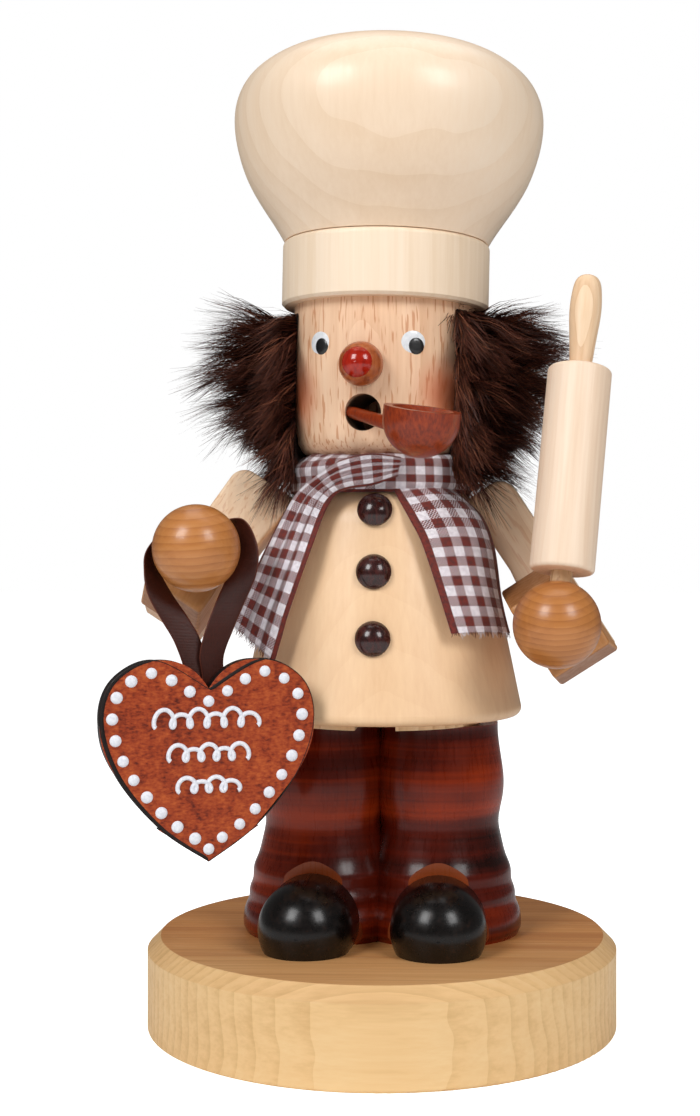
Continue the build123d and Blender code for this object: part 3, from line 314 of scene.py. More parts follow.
def stained_trousers():
    """Red-brown stain under clear varnish: turning bands, fine dark grain, bare wood on the milled flats."""
    made = new_material("varnished_stain")
    here = add(made, "ShaderNodeTexCoord", out="Object")
    band = pattern(made, here, (166.7, 166.7, 7.692), 1.0)
    thin_band = pattern(made, here, (83.33, 83.33, 1.111), 1.0)
    grain = pattern(made, here, (1.25, 1.25, 38.46), rough=0.6)
    cloud = pattern(made, here, (33.33, 33.33, 33.33))
    total = blended(made, (band, 0.52), (thin_band, 0.11), (grain, 0.06), (cloud, 0.30))
    stops = [(0.34, "1f0502"), (0.48, "551304"), (0.62, "96300a")]
    tone = add(made, "ShaderNodeValToRGB", {0: total}, stops=stops)
    turned_rings = add(made, "ShaderNodeMath", {0: band, 1: thin_band}, operation="ADD")
    more = {"Specular IOR Level": 0.15, "Coat Weight": 0.34, "Coat Roughness": 0.17, "Coat IOR": 1.42}
    finish_shader(made, tone, grain, (0.25, 0.36), (turned_rings, 0.2, 0.0003), more=more)
    depth = add(made, "ShaderNodeSeparateXYZ", {0: here}, out="Y")
    level = add(made, "ShaderNodeSeparateXYZ", {0: here}, out="Z")
    behind = add(made, "ShaderNodeMath", {0: depth, 1: FLAT_DEPTH}, operation="ADD")
    away = add(made, "ShaderNodeMath", {0: behind}, operation="ABSOLUTE")
    ends = {0: away, 1: 0.0008, 2: 0.0016, 3: 1, 4: 0}
    near_flat = add(made, "ShaderNodeMapRange", ends, interpolation_type="SMOOTHSTEP")
    ends = {0: level, 1: FLAT_TOP[0], 2: FLAT_TOP[1], 3: 1, 4: 0}
    low = add(made, "ShaderNodeMapRange", ends, interpolation_type="SMOOTHSTEP")
    return retoned(made, (near_flat, low, facing_share(made, (0, -1, 0), 0.985, 0.993), 0.6), "a04c22")


def black_shoes():
    """Black satin stain: nearly black with a soft highlight, a little brown grain showing through."""
    stops = [(0.35, "0a0706"), (0.6, "100a08"), (0.85, "26150e")]
    more = {"Specular IOR Level": 0.2, "Coat Weight": 0.45, "Coat Roughness": 0.2, "Coat IOR": 1.42}
    sizes = (1.4286, 25, 1.4286)
    return patterned("black_satin_stain", sizes, stops, (0.26, 0.36), (0.15, 0.0001), 0.3, grit=0.6, more=more)


def lacquer(name, tones, rough, speckle=1.667, gloss=0.6):
    """Clear gloss over stain: a deep, even colour with a sharp highlight, broken by a speckle in millimetres."""
    stops = [(0.3, tones[0]), (0.5, tones[1]), (0.75, tones[2])]
    more = {"Specular IOR Level": 0.3, "Coat Weight": gloss, "Coat Roughness": 0.12}
    sizes = (speckle, speckle, speckle / 0.35)
    return patterned(name, sizes, stops, (rough, rough + 0.1), (0.12, 0.00008), 0.2, 3.0, 0.65, more)


def tray_brass():
    """Pressed brass dish, dulled by smoke: a warm metal with darker, rougher stains."""
    stops = [(0.35, "c9a45a"), (0.55, "b48f4b"), (0.8, "5e4526")]
    return patterned("smoked_brass", (5.556, 5.556, 5.556), stops, (0.28, 0.5), detail=3.0, more={"Metallic": 1.0})


def gingerbread():
    """Heart board: red-brown stained face with fine pores, scorched near-black rim."""
    turn = math.radians(HEART_TURN)
    normal = (math.sin(turn), -math.cos(turn), 0)
    made = new_material("stained_heart_board")
    here = add(made, "ShaderNodeTexCoord", out="Object")
    pores = pattern(made, here, (1.4815, 1.4815, 0.6667), rough=0.6)
    mottle = pattern(made, here, (2.381, 2.381, 3.968), rough=0.6)
    cloud = pattern(made, here, (22.22, 22.22, 22.22), 1.0)
    total = blended(made, (pores, 0.45), (mottle, 0.35), (cloud, 0.20))
    stops = [(0.36, "571808"), (0.49, "993916"), (0.64, "ba5726")]
    tone = add(made, "ShaderNodeValToRGB", {0: total}, stops=stops)
    more = {"Specular IOR Level": 0.3}
    finish_shader(made, tone, mottle, (0.36, 0.5), (total, 0.25, 0.0001), 0.35, more=more)
    facing = add(made, "ShaderNodeTexCoord", out="Normal")
    across = add(made, "ShaderNodeVectorMath", {0: facing, 1: normal}, operation="DOT_PRODUCT", out="Value")
    either = add(made, "ShaderNodeMath", {0: across}, operation="ABSOLUTE")
    ends = {0: either, 1: 0.80, 2: 0.96, 3: 1.0, 4: 0.0}
    rim = add(made, "ShaderNodeMapRange", ends, interpolation_type="SMOOTHSTEP")
    return retoned(made, (rim,), "140a08")


def edge_stain():
    """Near-black stain soaked into the sawn edge of the heart board: dull, with brown grain."""
    stops = [(0.35, "0e0807"), (0.6, "1c0f0b"), (0.8, "3a1a10")]
    more = {"Specular IOR Level": 0.3}
    return patterned("black_edge_stain", (1.111, 1.111, 2.778), stops, (0.45, 0.65), (0.2, 0.0001), more=more)


def icing():
    """Dried white sugar icing: a clean, slightly glowing white with a faint grain."""
    stops = [(0.3, "dfe2ec"), (0.7, "f4f5fb")]
    more = {"Subsurface Weight": 0.1, "Subsurface Radius": (0.001, 0.001, 0.001)}
    return patterned("sugar_icing", (0.6667, 0.6667, 0.6667), stops, (0.35, 0.5), (0.15, 0.0001), more=more)


def eye_paint(name, codes, rough):
    """Thick enamel dot put on with a brush end: flat colour under a glossy skin."""
    stops = [(0.3, codes[0]), (0.7, codes[1])]
    more = {"Coat Weight": 0.6, "Coat Roughness": 0.15}
    return patterned(name, (1.111, 1.111, 1.111), stops, (rough, rough + 0.08), (0.08, 0.0001), more=more)


# Satin: the period of its raised threads in metres, coarser than real so that they show
SATIN_THREAD = 0.4488 * MM


def satin():
    """Dark brown satin ribbon: long floats across it give a warm sheen, with a corded selvedge.

    Its UV holds the share of the width and the length in metres.
    """
    made = new_material("brown_satin")
    flat = add(made, "ShaderNodeUVMap", uv_map="cloth")
    across = add(made, "ShaderNodeSeparateXYZ", {0: flat}, out="X")
    along = add(made, "ShaderNodeSeparateXYZ", {0: flat}, out="Y")
    turns = add(made, "ShaderNodeMath", {0: along, 1: 2 * math.pi / SATIN_THREAD}, operation="MULTIPLY")
    threads = add(made, "ShaderNodeMath", {0: turns}, operation="SINE")
    soft = pattern(made, flat, (8.333, 2.0, 1000))
    aside = add(made, "ShaderNodeMath", {0: across, 1: 0.5}, operation="SUBTRACT")
    rim = add(made, "ShaderNodeMath", {0: aside}, operation="ABSOLUTE")
    selvedge = add(made, "ShaderNodeMapRange", {0: rim, 1: 0.455, 2: 0.475}, interpolation_type="SMOOTHSTEP")
    tone = add(made, "ShaderNodeValToRGB", {0: soft}, stops=[(0.3, "2a0d06"), (0.7, "46190d")])
    height = add(made, "ShaderNodeMath", {0: threads, 1: 0.3, 2: selvedge}, operation="MULTIPLY_ADD")
    more = {
        "Specular IOR Level": 0.3,
        "Anisotropic": 0.6,
        "Sheen Weight": 0.2,
        "Sheen Roughness": 0.3,
        "Sheen Tint": colour("b0592c"),
    }
    finish_shader(made, tone, soft, (0.40, 0.5), (height, 0.35, 0.00012), more=more)
    return retoned(made, (selvedge, 0.6), "6b3424")


# Gingham: the threads of the weave in metres, coarser than real so that they show
GINGHAM_THREAD = 0.42 * MM


def gingham(name, worn):
    """Woven check ribbon: plain weave of white and dark red threads, with a solid selvedge at both edges."""
    made = new_material(name)
    flat = add(made, "ShaderNodeUVMap", uv_map="cloth")
    stripes, ridges = [], []
    for axis in ("X", "Y"):
        place = add(made, "ShaderNodeSeparateXYZ", {0: flat}, out=axis)
        inner = add(made, "ShaderNodeMath", {0: place, 1: SELVEDGE * MM}, operation="SUBTRACT")
        counted = add(made, "ShaderNodeMath", {0: inner, 1: CHECK * MM}, operation="DIVIDE")
        part = add(made, "ShaderNodeMath", {0: counted}, operation="FRACT")
        step = add(made, "ShaderNodeMapRange", {0: part, 1: 0.49, 2: 0.51}, interpolation_type="SMOOTHSTEP")
        stripes.append(step)
        turns = add(made, "ShaderNodeMath", {0: place, 1: math.pi / GINGHAM_THREAD}, operation="MULTIPLY")
        wave = add(made, "ShaderNodeMath", {0: turns}, operation="SINE")
        ridges.append(add(made, "ShaderNodeMath", {0: wave}, operation="ABSOLUTE"))
    parity = add(made, "ShaderNodeTexChecker", {"Vector": flat, "Scale": 1.0 / GINGHAM_THREAD}, out="Fac")
    woven = add(made, "ShaderNodeMix", {0: parity, 2: stripes[0], 3: stripes[1]})
    either = add(made, "ShaderNodeMath", {0: stripes[0], 1: stripes[1]}, operation="MAXIMUM")
    crossed = add(made, "ShaderNodeMath", {0: either, 1: 0.3}, operation="MULTIPLY")
    dark = add(made, "ShaderNodeMath", {0: woven, 1: crossed}, operation="MAXIMUM")
    place = add(made, "ShaderNodeSeparateXYZ", {0: flat}, out="X")
    off_middle = add(made, "ShaderNodeMath", {0: place, 1: CLOTH_WIDE / 2 * MM}, operation="SUBTRACT")
    aside = add(made, "ShaderNodeMath", {0: off_middle}, operation="ABSOLUTE")
    rim = (CLOTH_WIDE / 2 - SELVEDGE) * MM
    ends = {0: aside, 1: rim - 0.1 * MM, 2: rim}
    solid = add(made, "ShaderNodeMapRange", ends, interpolation_type="SMOOTHSTEP")
    dark = add(made, "ShaderNodeMath", {0: dark, 1: solid}, operation="MAXIMUM")
    spread = pattern(made, flat, (1.111, 1.111, 1.111))
    red = add(made, "ShaderNodeValToRGB", {0: spread}, stops=[(0.3, "470c06"), (0.7, "7e2415")])
    white = add(made, "ShaderNodeValToRGB", {0: spread}, stops=[(0.3, "d4ccd3"), (0.7, "f4eff4")])
    inputs = {0: dark, 6: white, 7: red}
    tone = add(made, "ShaderNodeMix", inputs, out=2, data_type="RGBA", blend_type="MIX", clamp_result=True)
    height = add(made, "ShaderNodeMath", {0: ridges[0], 1: ridges[1]}, operation="ADD")
    more = {"Sheen Weight": 0.25, "Sheen Roughness": 0.4}
    return finish_shader(made, tone, spread, (0.62, 0.62 + worn), (height, 0.35, 0.00015), more=more)


def thread_ends():
    """Loose threads of the cut end: dull white and red fuzz."""
    made = new_material("loose_threads")
    tint = add(made, "ShaderNodeAttribute", attribute_name="tint", out="Fac")
    here = add(made, "ShaderNodeTexCoord", out="Object")
    fuzz = pattern(made, here, (0.3333, 0.3333, 0.3333), 1.0)
    tone = add(made, "ShaderNodeValToRGB", {0: tint}, stops=[(0.45, "6a241a"), (0.55, "ded6dd")])
    return finish_shader(made, tone, fuzz, (0.6, 0.85))


def fur():
    """Dark brown fur with redder and lighter hairs among the tips: painted shade darkens the roots and a painted
    highlight lightens the tips.
    """
    made = new_material("brown_fur")
    tint = add(made, "ShaderNodeAttribute", attribute_name="tint", out="Fac")
    tip = add(made, "ShaderNodeAttribute", attribute_name="tip", out="Fac")
    stops = [(0.0, "1e0c07"), (0.45, "3a1910"), (0.8, "5f2d1e"), (1.0, "955c40")]
    tone = add(made, "ShaderNodeValToRGB", {0: tint}, stops=stops)
    finish_shader(made, tone, tint, (0.48, 0.62), span=(0.0, 1.0), more={"Specular IOR Level": 0.3})
    # Painted shade and highlight: each hair goes from a dark root to a lighter tip.
    return retoned(made, (tip, 0.35), "5a3022")


def floor_paper():
    """Matt white paper under the figure, shown to the camera as plain white."""
    stops = [(0.3, "fafafa"), (0.7, "ffffff")]
    more = {"Specular IOR Level": 0.1, "Emission Color": (1.0, 1.0, 1.0, 1.0)}
    made = patterned("white_paper", (2.5, 2.5, 2.5), stops, (0.9, 0.95), more=more)
    seen = add(made, "ShaderNodeLightPath", out="Is Camera Ray")
    feed(made.node_tree, made.node_tree.nodes["Principled BSDF"], {"Emission Strength": seen})
    return made


# Frames of the figure
def turned(direction, degrees):
    """A direction turned about +Z."""
    return Matrix.Rotation(math.radians(degrees), 3, "Z") @ Vector(direction)


def squared(direction, normal):
    """The part of a direction that is square to a normal, at unit length."""
    return (Vector(direction) - Vector(normal) * Vector(direction).dot(normal)).normalized()


def frame_of(origin, x_dir, z_dir):
    """A frame with its origin in millimetres, as a 4x4 matrix in metres."""
    x, z = Vector(x_dir).normalized(), Vector(z_dir).normalized()
    y = z.cross(x)
    place = Vector(origin) * MM
    return Matrix(((x.x, y.x, z.x, place.x), (x.y, y.y, z.y, place.y), (x.z, y.z, z.z, place.z), (0, 0, 0, 1)))


def head_place():
    """Frame of the head: bottom centre, its own right, its axis."""
    axis = Vector((math.sin(math.radians(HEAD_LEAN)), 0, math.cos(math.radians(HEAD_LEAN))))
    return frame_of((0, 0, HEAD_Z), squared(turned((1, 0, 0), -HEAD_YAW), axis), axis)


def left_arm_place():
    """Frame of the left arm: middle of the elbow seam, X down the arm, Z forward."""
    lift = math.radians(LEFT_ARM_LIFT)
    forward = turned((0, -math.cos(lift), math.sin(lift)), LEFT_ARM_YAW)
    fall = (-math.cos(math.radians(ARM_FALL)), 0, -math.sin(math.radians(ARM_FALL)))
    return frame_of(LEFT_ELBOW, squared(fall, forward), forward)


def heart_place():
    """Frame of the heart's back face: origin at the tip, Y up, Z out of the heart."""
    turn = math.radians(HEART_TURN)
    normal = Vector((math.sin(turn), -math.cos(turn), 0))
    return frame_of(Vector(HEART_TIP) - normal * HEART_T, (math.cos(turn), math.sin(turn), 0), normal)


# Making pieces
def piece(name, mesh, body, material):
    """An object of the figure with its material, riding on a body."""
    made = bpy.data.objects.new(name, mesh)
    bpy.context.scene.collection.objects.link(made)
    if not mesh.materials:
        mesh.materials.append(material)
    for face in mesh.polygons:
        face.use_smooth = True
    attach(made, body)
    return made


def mesh_of(name, verts, faces):
    """A mesh from points and faces."""
    made = bpy.data.meshes.new(name)
    made.from_pydata([tuple(v) for v in verts], [], faces)
    made.update()
    return made


def grid_faces(rows, columns, closed=False):
    """Quads between rows of points, each row with that many columns."""
    faces = []
    wide = columns if closed else columns - 1
    for r in range(rows - 1):
        for c in range(wide):
            d = (c + 1) % columns
            faces.append((r * columns + c, r * columns + d, (r + 1) * columns + d, (r + 1) * columns + c))
    return faces


def eased(points, share):
    """A point on the smooth curve through points, at a share of its stations."""
    place = share * (len(points) - 1)
    i = min(int(place), len(points) - 2)
    t = place - i
    a, b = points[max(i - 1, 0)], points[i]
    c, d = points[i + 1], points[min(i + 2, len(points) - 1)]
    return 0.5 * ((2 * b) + (c - a) * t + (2 * a - 5 * b + 4 * c - d) * t**2 + (3 * b - a - 3 * c + d) * t**3)


def coated(node, material):
    """Gives a CAD node a finished material."""
    for place in nodes[node].material_slots:
        place.material = material


def write_uv(mesh, places):
    """Stores each vertex's place on the flat cloth as the cloth UV."""
    layer = mesh.uv_layers.new(name="cloth")
    for loop in mesh.loops:
        layer.data[loop.index].uv = places[loop.vertex_index]


def write_values(mesh, name, values):
    """Stores one value for each vertex."""
    made = mesh.attributes.new(name, "FLOAT", "POINT")
    made.data.foreach_set("value", values)


def thickened(sheet_piece, thick):
    """Gives a cloth surface its thickness."""
    skin = sheet_piece.modifiers.new("thickness", "SOLIDIFY")
    skin.thickness = thick * MM
    skin.offset = 0.0
    skin.use_even_offset = True
    return sheet_piece


# Painted face. Eyes and cheeks: turn from the front in degrees, distance from the head's axis and height on it
# in millimetres, and the reach of a cheek's colour in metres.
EYE_TURN = 30.3
EYE_LEVEL = 32.9
CHEEK_TURN = 56
CHEEK_OUT = 27.2
CHEEK_LEVEL = 18.5
CHEEK_REACH = 0.0145


def paint_dot(name, head_surface, angle, height, wide, tall, thick, shift, material):
    """An oval dot of paint laid on the head, at an angle from the face and a height in the head's frame."""
    head = head_place()
    right, axis = head.col[0].to_3d(), head.col[2].to_3d()
    front = -head.col[1].to_3d()
    a = math.radians(angle)
    out = front * math.cos(a) + right * math.sin(a)
    side = right * math.cos(a) - front * math.sin(a)
    centre = head.to_translation() + axis * height * MM + side * shift[0] * MM + axis * shift[1] * MM
    rings, spokes = 6, 32
    far = 60 * MM
    verts = []
    for ring in range(rings + 1):
        share = ring / rings
        for spoke in range(spokes):
            turn = 2 * math.pi * spoke / spokes
            offset = side * math.cos(turn) * share * wide / 2 + axis * math.sin(turn) * share * tall / 2
            start = centre + offset * MM + out * far
            hit = head_surface.ray_cast(start, -out)[0]
            lift = thick * (1 - share**4) + 0.02 if ring < rings else -0.05
            verts.append(hit + out * lift * MM)
    faces = grid_faces(rings + 1, spokes, closed=True)
    return piece(name, mesh_of(name, verts, faces), "upper", material)


def painted_face():
    """Two enamel eyes, white with a black pupil."""
    source = nodes["head"].data
    head_surface = BVHTree.FromPolygons([v.co for v in source.vertices], [p.vertices for p in source.polygons])
    white = eye_paint("white_enamel", ("dde1e6", "f0f2f5"), 0.4)
    black = eye_paint("black_enamel", ("0a0a0b", "141416"), 0.36)
    for side, word in ((-1, "left"), (1, "right")):
        paint_dot(f"eye_white_{word}", head_surface, side * EYE_TURN, EYE_LEVEL, 7.6, 6.8, 0.18, (0, 0), white)
        paint_dot(f"pupil_{word}", head_surface, side * EYE_TURN, EYE_LEVEL, 5.2, 5.2, 0.42, (0.8, -1.0), black)


def face_wood():
    """Waxed beech face: small brown flecks down the grain, warm cheeks brushed on, painted shade inside the mouth.
    """
    made = wood("waxed_beech_face", ("ffe4c8", "f6ceab", "cf9566"), core=(8, 48, 0), ring=3.2, ring_share=0.12,
                fibre_share=0.30, cloud_share=0.20, flecks=0.6, end_dark=0.35, rough=(0.4, 0.52), edge=0.3)
    head = head_place()
    for side in (-1, 1):
        a = math.radians(side * CHEEK_TURN)
        spot = head @ mm(math.sin(a) * CHEEK_OUT, -math.cos(a) * CHEEK_OUT, CHEEK_LEVEL)
        retoned(made, (near_spot(made, spot, 0.15 * CHEEK_REACH, CHEEK_REACH), 0.78), "dd6a38")
    # Painted shade: the inside of the mouth's bore is darkened to near black round a spot deep in the head.
    return retoned(made, (near_spot(made, head @ mm(0, -14.0, 12.6), 0.0095, 0.0135, 0.9),), "1b0c07")



# Heart. Its icing in millimetres: how far the border of drops lies inside the outline, how many drops
# there are, their radius and height, and the radius of the piped line.
DROP_INSET = 3.4
DROPS = 28
DROP_WIDE = 1.62
DROP_TALL = 0.75
LINE_RADIUS = 0.62
# Rows of loops: left end, right end, level, number of loops, half their height
LOOP_ROWS = ((-14.5, 13.5, 36.5, 6, 2.5), (-10.5, 10.5, 27.5, 5, 2.2), (-8.0, 8.0, 19.0, 4, 2.0))


def heart_outline():
    """The heart's outline in its own frame, in millimetres: notch, right lobe, tip, left lobe."""
    points = [Vector((0, HEART_NOTCH * HEART_H))]
    for x, z in zip(HEART_X_SHARES, HEART_Z_SHARES):
        points.append(Vector((x * HEART_W / 2, z * HEART_H)))
    points.append(Vector((0, 0)))
    right = [eased(points, i / 120) for i in range(121)]
    left = [Vector((-p.x, p.y)) for p in reversed(right[1:-1])]
    return right + left


def inset(points, depth):
    """The outline moved inwards."""
    count = len(points)
    moved = []
    for i, point in enumerate(points):
        along = (points[(i + 3) % count] - points[i - 3]).normalized()
        moved.append(point + Vector((along.y, -along.x)) * depth)
    return moved


def spaced(points, count):
    """Points evenly spaced round a closed line."""
    lengths = [0.0]
    for a, b in zip(points, points[1:] + points[:1]):
        lengths.append(lengths[-1] + (b - a).length)
    found = []
    for k in range(count):
        goal = lengths[-1] * k / count
        i = max(j for j in range(len(points)) if lengths[j] <= goal)
        step = (goal - lengths[i]) / max(lengths[i + 1] - lengths[i], 1e-9)
        found.append(points[i].lerp(points[(i + 1) % len(points)], step))
    return found


def scorched_edge(stain):
    """Dark stain round the board's rim, run over on to the face along the picture's left."""
    board = heart_place()
    outline = heart_outline()
    count = len(outline)
    verts = []
    for i, spot in enumerate(outline):
        along = (outline[(i + 3) % count] - outline[i - 3]).normalized()
        inwards = Vector((along.y, -along.x))
        over = 0.15 + 1.0 * max(0.0, inwards.x) ** 0.5
        skin, top = -0.06, HEART_T + 0.04
        for deep, level in ((over, HEART_T - 0.15), (over, top), (skin, top), (skin, 0.1), (0.2, 0.1)):
            place = spot + inwards * deep
            verts.append(board @ mm(place.x, place.y, level))
    faces = [tuple(reversed(face)) for face in grid_faces(count, 5)]
    last = (count - 1) * 5
    faces += [(last + c, c, c + 1, last + c + 1) for c in range(4)]
    return piece("scorched_edge", mesh_of("scorched_edge", verts, faces), "heart", stain)


def icing_dots(sugar):
    """A border of small icing drops round the heart's front."""
    board = heart_place()
    verts, faces = [], []
    dots = random.Random(4)
    rings, spokes = 6, 16
    for spot in spaced(inset(heart_outline(), DROP_INSET), DROPS):
        wide = DROP_WIDE * dots.uniform(0.94, 1.05)
        start = len(verts)
        for ring in range(rings):
            rise = ring / (rings - 1) * math.pi / 2
            for spoke in range(spokes):
                turn = 2 * math.pi * spoke / spokes
                x = spot.x + math.cos(turn) * wide * math.sin(rise)
                y = spot.y + math.sin(turn) * wide * math.sin(rise)
                verts.append(board @ mm(x, y, HEART_T - 0.05 + DROP_TALL * math.cos(rise)))
        faces += [tuple(i + start for i in face) for face in grid_faces(rings, spokes, closed=True)]
    return piece("icing_dots", mesh_of("icing_dots", verts, faces), "heart", sugar)


def icing_loops(sugar):
    """Three rows of looped icing piped across the heart, a plain ornament."""
    board = heart_place()
    data = bpy.data.curves.new("icing_loops", "CURVE")
    data.dimensions = "3D"
    data.bevel_depth = LINE_RADIUS * MM
    data.bevel_resolution = 3
    data.use_fill_caps = True
    per_loop = 12
    for left, right, level, loops, tall in LOOP_ROWS:
        line = data.splines.new("NURBS")
        steps = loops * per_loop
        line.points.add(steps)
        for i in range(steps + 1):
            turn = 2 * math.pi * i / per_loop - math.pi / 2
            x = left + (right - left) * i / steps - 1.5 * math.cos(turn)
            y = level + tall * (1 + math.sin(turn)) * (1.0 if (i // per_loop) % 2 == 0 else 0.72)
            spot = board @ mm(x, y, HEART_T + 0.25)
            line.points[i].co = (*spot, 1)
        line.order_u = 4
        line.use_endpoint_u = True
    tubes = bpy.data.objects.new("icing_line", data)
    bpy.context.scene.collection.objects.link(tubes)
    dg = bpy.context.evaluated_depsgraph_get()
    mesh = bpy.data.meshes.new_from_object(tubes.evaluated_get(dg))
    bpy.data.objects.remove(tubes)
    mesh.name = "icing_loops"
    return piece("icing_loops", mesh, "heart", sugar)


# Ribbon. Its way round the wrist in the arm's frame: turns in degrees, radius and level in millimetres.
NECK_TURNS = (262, 232, 205, 182)
NECK_RADIUS = 11.7
NECK_LEVEL = 24.0
SATIN_THICK = 0.3


def ribbon(material):
    """One satin ribbon: from behind the heart over the wrist and back, with a slight crown across it."""
    arm, board = left_arm_place(), heart_place()
    forward = arm.col[2].to_3d()
    heart_x = board.col[0].to_3d()
    notch = HEART_NOTCH * HEART_H
    neck = [
        arm @ mm(NECK_RADIUS * math.cos(turn), NECK_RADIUS * math.sin(turn), NECK_LEVEL)
        for turn in map(math.radians, NECK_TURNS)
    ]
    stations = [
        (board @ mm(-2.2, notch - 6.0, -2.15), heart_x, 6.0),
        (board @ mm(-2.2, notch + 3.0, -2.15), heart_x, 6.0),
        (mm(-49.9, -48.2, 115.4), heart_x, 7.4),
        (mm(-53.4, -48.0, 121.7), heart_x, 7.8),
        (mm(-57.6, -47.9, 128.5), heart_x * 3 - forward, 7.8),
        (mm(-60.1, -46.8, 134.8), heart_x - forward, 7.0),
        (mm(-60.9, -44.2, 140.6), heart_x - forward * 2, 6.0),
    ]
    stations += [(spot, -forward, 4.2) for spot in neck]
    stations += [
        (mm(-37.6, -38.2, 149.0), -heart_x - forward * 2, 5.6),
        (mm(-34.9, -40.4, 142.6), -heart_x - forward, 7.0),
        (mm(-35.6, -43.1, 135.0), -heart_x * 3 - forward, 8.0),
        (mm(-38.4, -45.9, 127.4), -heart_x, 8.2),
        (mm(-41.3, -47.9, 119.5), -heart_x, 7.8),
        (mm(-43.4, -48.3, 112.4), -heart_x, 6.8),
        (board @ mm(2.2, notch + 3.0, -1.05), -heart_x, 6.0),
        (board @ mm(2.2, notch - 6.0, -1.05), -heart_x, 6.0),
    ]
    stations = [(spot, side.normalized(), wide) for spot, side, wide in stations]
    spots = [s[0] for s in stations]
    sides = [s[1] for s in stations]
    widths = [Vector((s[2] * MM, 0)) for s in stations]
    rows, columns = 150, 13
    verts, flat = [], []
    run = 0.0
    last = None
    for r in range(rows):
        share = r / (rows - 1)
        spot = eased(spots, share)
        ahead = eased(spots, min(share + 0.004, 1.0)) - eased(spots, max(share - 0.004, 0.0))
        side = eased(sides, share).normalized()
        out = side.cross(ahead).normalized()
        wide = eased(widths, share).x
        run += (spot - last).length if last is not None else 0.0
        last = spot
        for c in range(columns):
            s = c / (columns - 1)
            crown = 0.25 * MM * (1 - (2 * s - 1) ** 2)
            verts.append(spot + side * (s - 0.5) * wide + out * crown)
            flat.append((s, run))
    mesh = mesh_of("satin_ribbon", verts, grid_faces(rows, columns))
    write_uv(mesh, flat)
    made = piece("satin_ribbon", mesh, "upper", material)
    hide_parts("ribbon_loop", "ribbon_left", "ribbon_right")
    thickened(made, SATIN_THICK)
    return made


# Scarf
def cloth_strip(name, stations, columns, rows, folds, material, node_names, offset_v=0.0):
    """A length of scarf between two edges.

    Stations hold the left edge, the right edge, the depth of the pleats and the bow between, in millimetres.
    """
    lefts = [Vector(s[0]) for s in stations]
    rights = [Vector(s[1]) for s in stations]
    depths = [Vector((s[2], s[3])) for s in stations]
    verts, flat = [], []
    run = offset_v
    last = None
    for r in range(rows):
        share = r / (rows - 1)
        left, right = eased(lefts, share), eased(rights, share)
        depth, lean = eased(depths, share)
        middle = (left + right) / 2
        ahead = eased(lefts, min(share + 0.02, 1)) + eased(rights, min(share + 0.02, 1))
        ahead -= eased(lefts, max(share - 0.02, 0)) + eased(rights, max(share - 0.02, 0))
        across = right - left
        out = across.cross(ahead).normalized()
        if out.dot(Vector((middle.x, middle.y, 0))) < 0:
            out = -out
        run += (middle - last).length if last is not None else 0.0
        last = middle
        line = []
        for c in range(columns):
            s = c / (columns - 1)
            wave = abs(math.sin(math.pi * folds * (s + 0.02 * math.sin(7 * share + 3 * s)))) ** 0.8
            bow = 1 - (2 * s - 1) ** 2
            flutter = noise.noise(Vector((s * 3.0, share * 4.0, 7.3 + folds))) * 0.45
            line.append(left + across * s + out * (depth * wave + lean * bow + flutter))
        lengths = [0.0]
        for a, b in zip(line, line[1:]):
            lengths.append(lengths[-1] + (b - a).length)
        for c, spot in enumerate(line):
            s = lengths[c] / lengths[-1]
            verts.append(spot * MM)
            flat.append((s * CLOTH_WIDE * MM, run * MM))
    mesh = mesh_of(name, verts, grid_faces(rows, columns))
    write_uv(mesh, flat)
    made = piece(name, mesh, "upper", material)
    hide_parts(*node_names)
    return thickened(made, CLOTH_THICK)


def frayed_end(name, mesh, columns, material, seed):
    """Loose thread ends along the last row of a cloth surface."""
    threads = random.Random(seed)
    points = [v.co.copy() for v in mesh.vertices]
    last_row = points[-columns:]
    before = points[-2 * columns : -columns]
    verts, faces, tints = [], [], []
    count, joints = 64, 4
    for k in range(count):
        place = (k + threads.uniform(0.2, 0.8)) / count * (columns - 1)
        i = min(int(place), columns - 2)
        root = last_row[i].lerp(last_row[i + 1], place - i)
        down = (last_row[i] - before[i]).normalized()
        side = (last_row[i + 1] - last_row[i]).normalized()
        long = threads.uniform(0.6, 1.9) * MM
        bend = side * threads.uniform(-0.6, 0.6) * long
        wide = side * 0.14 * MM
        tint = 1.0 if ((place / (columns - 1) * CLOTH_WIDE - SELVEDGE) / CHECK) % 1 < 0.5 else 0.0
        start = len(verts)
        for step in range(joints):
            t = step / (joints - 1)
            spot = root + down * long * t + bend * t * t
            thin = 1 - 0.6 * t
            for offset in (-wide * thin, side.cross(down) * 0.1 * MM, wide * thin):
                verts.append(spot + offset)
                tints.append(tint)
        for step in range(joints - 1):
            for c in range(3):
                d = (c + 1) % 3
                a = start + step * 3
                faces.append((a + c, a + d, a + 3 + d, a + 3 + c))
    made = mesh_of(name, verts, faces)
    write_values(made, "tint", tints)
    return piece(name, made, "upper", material)


# Mean radius of the collar, in millimetres
COLLAR_RADIUS = 27.0


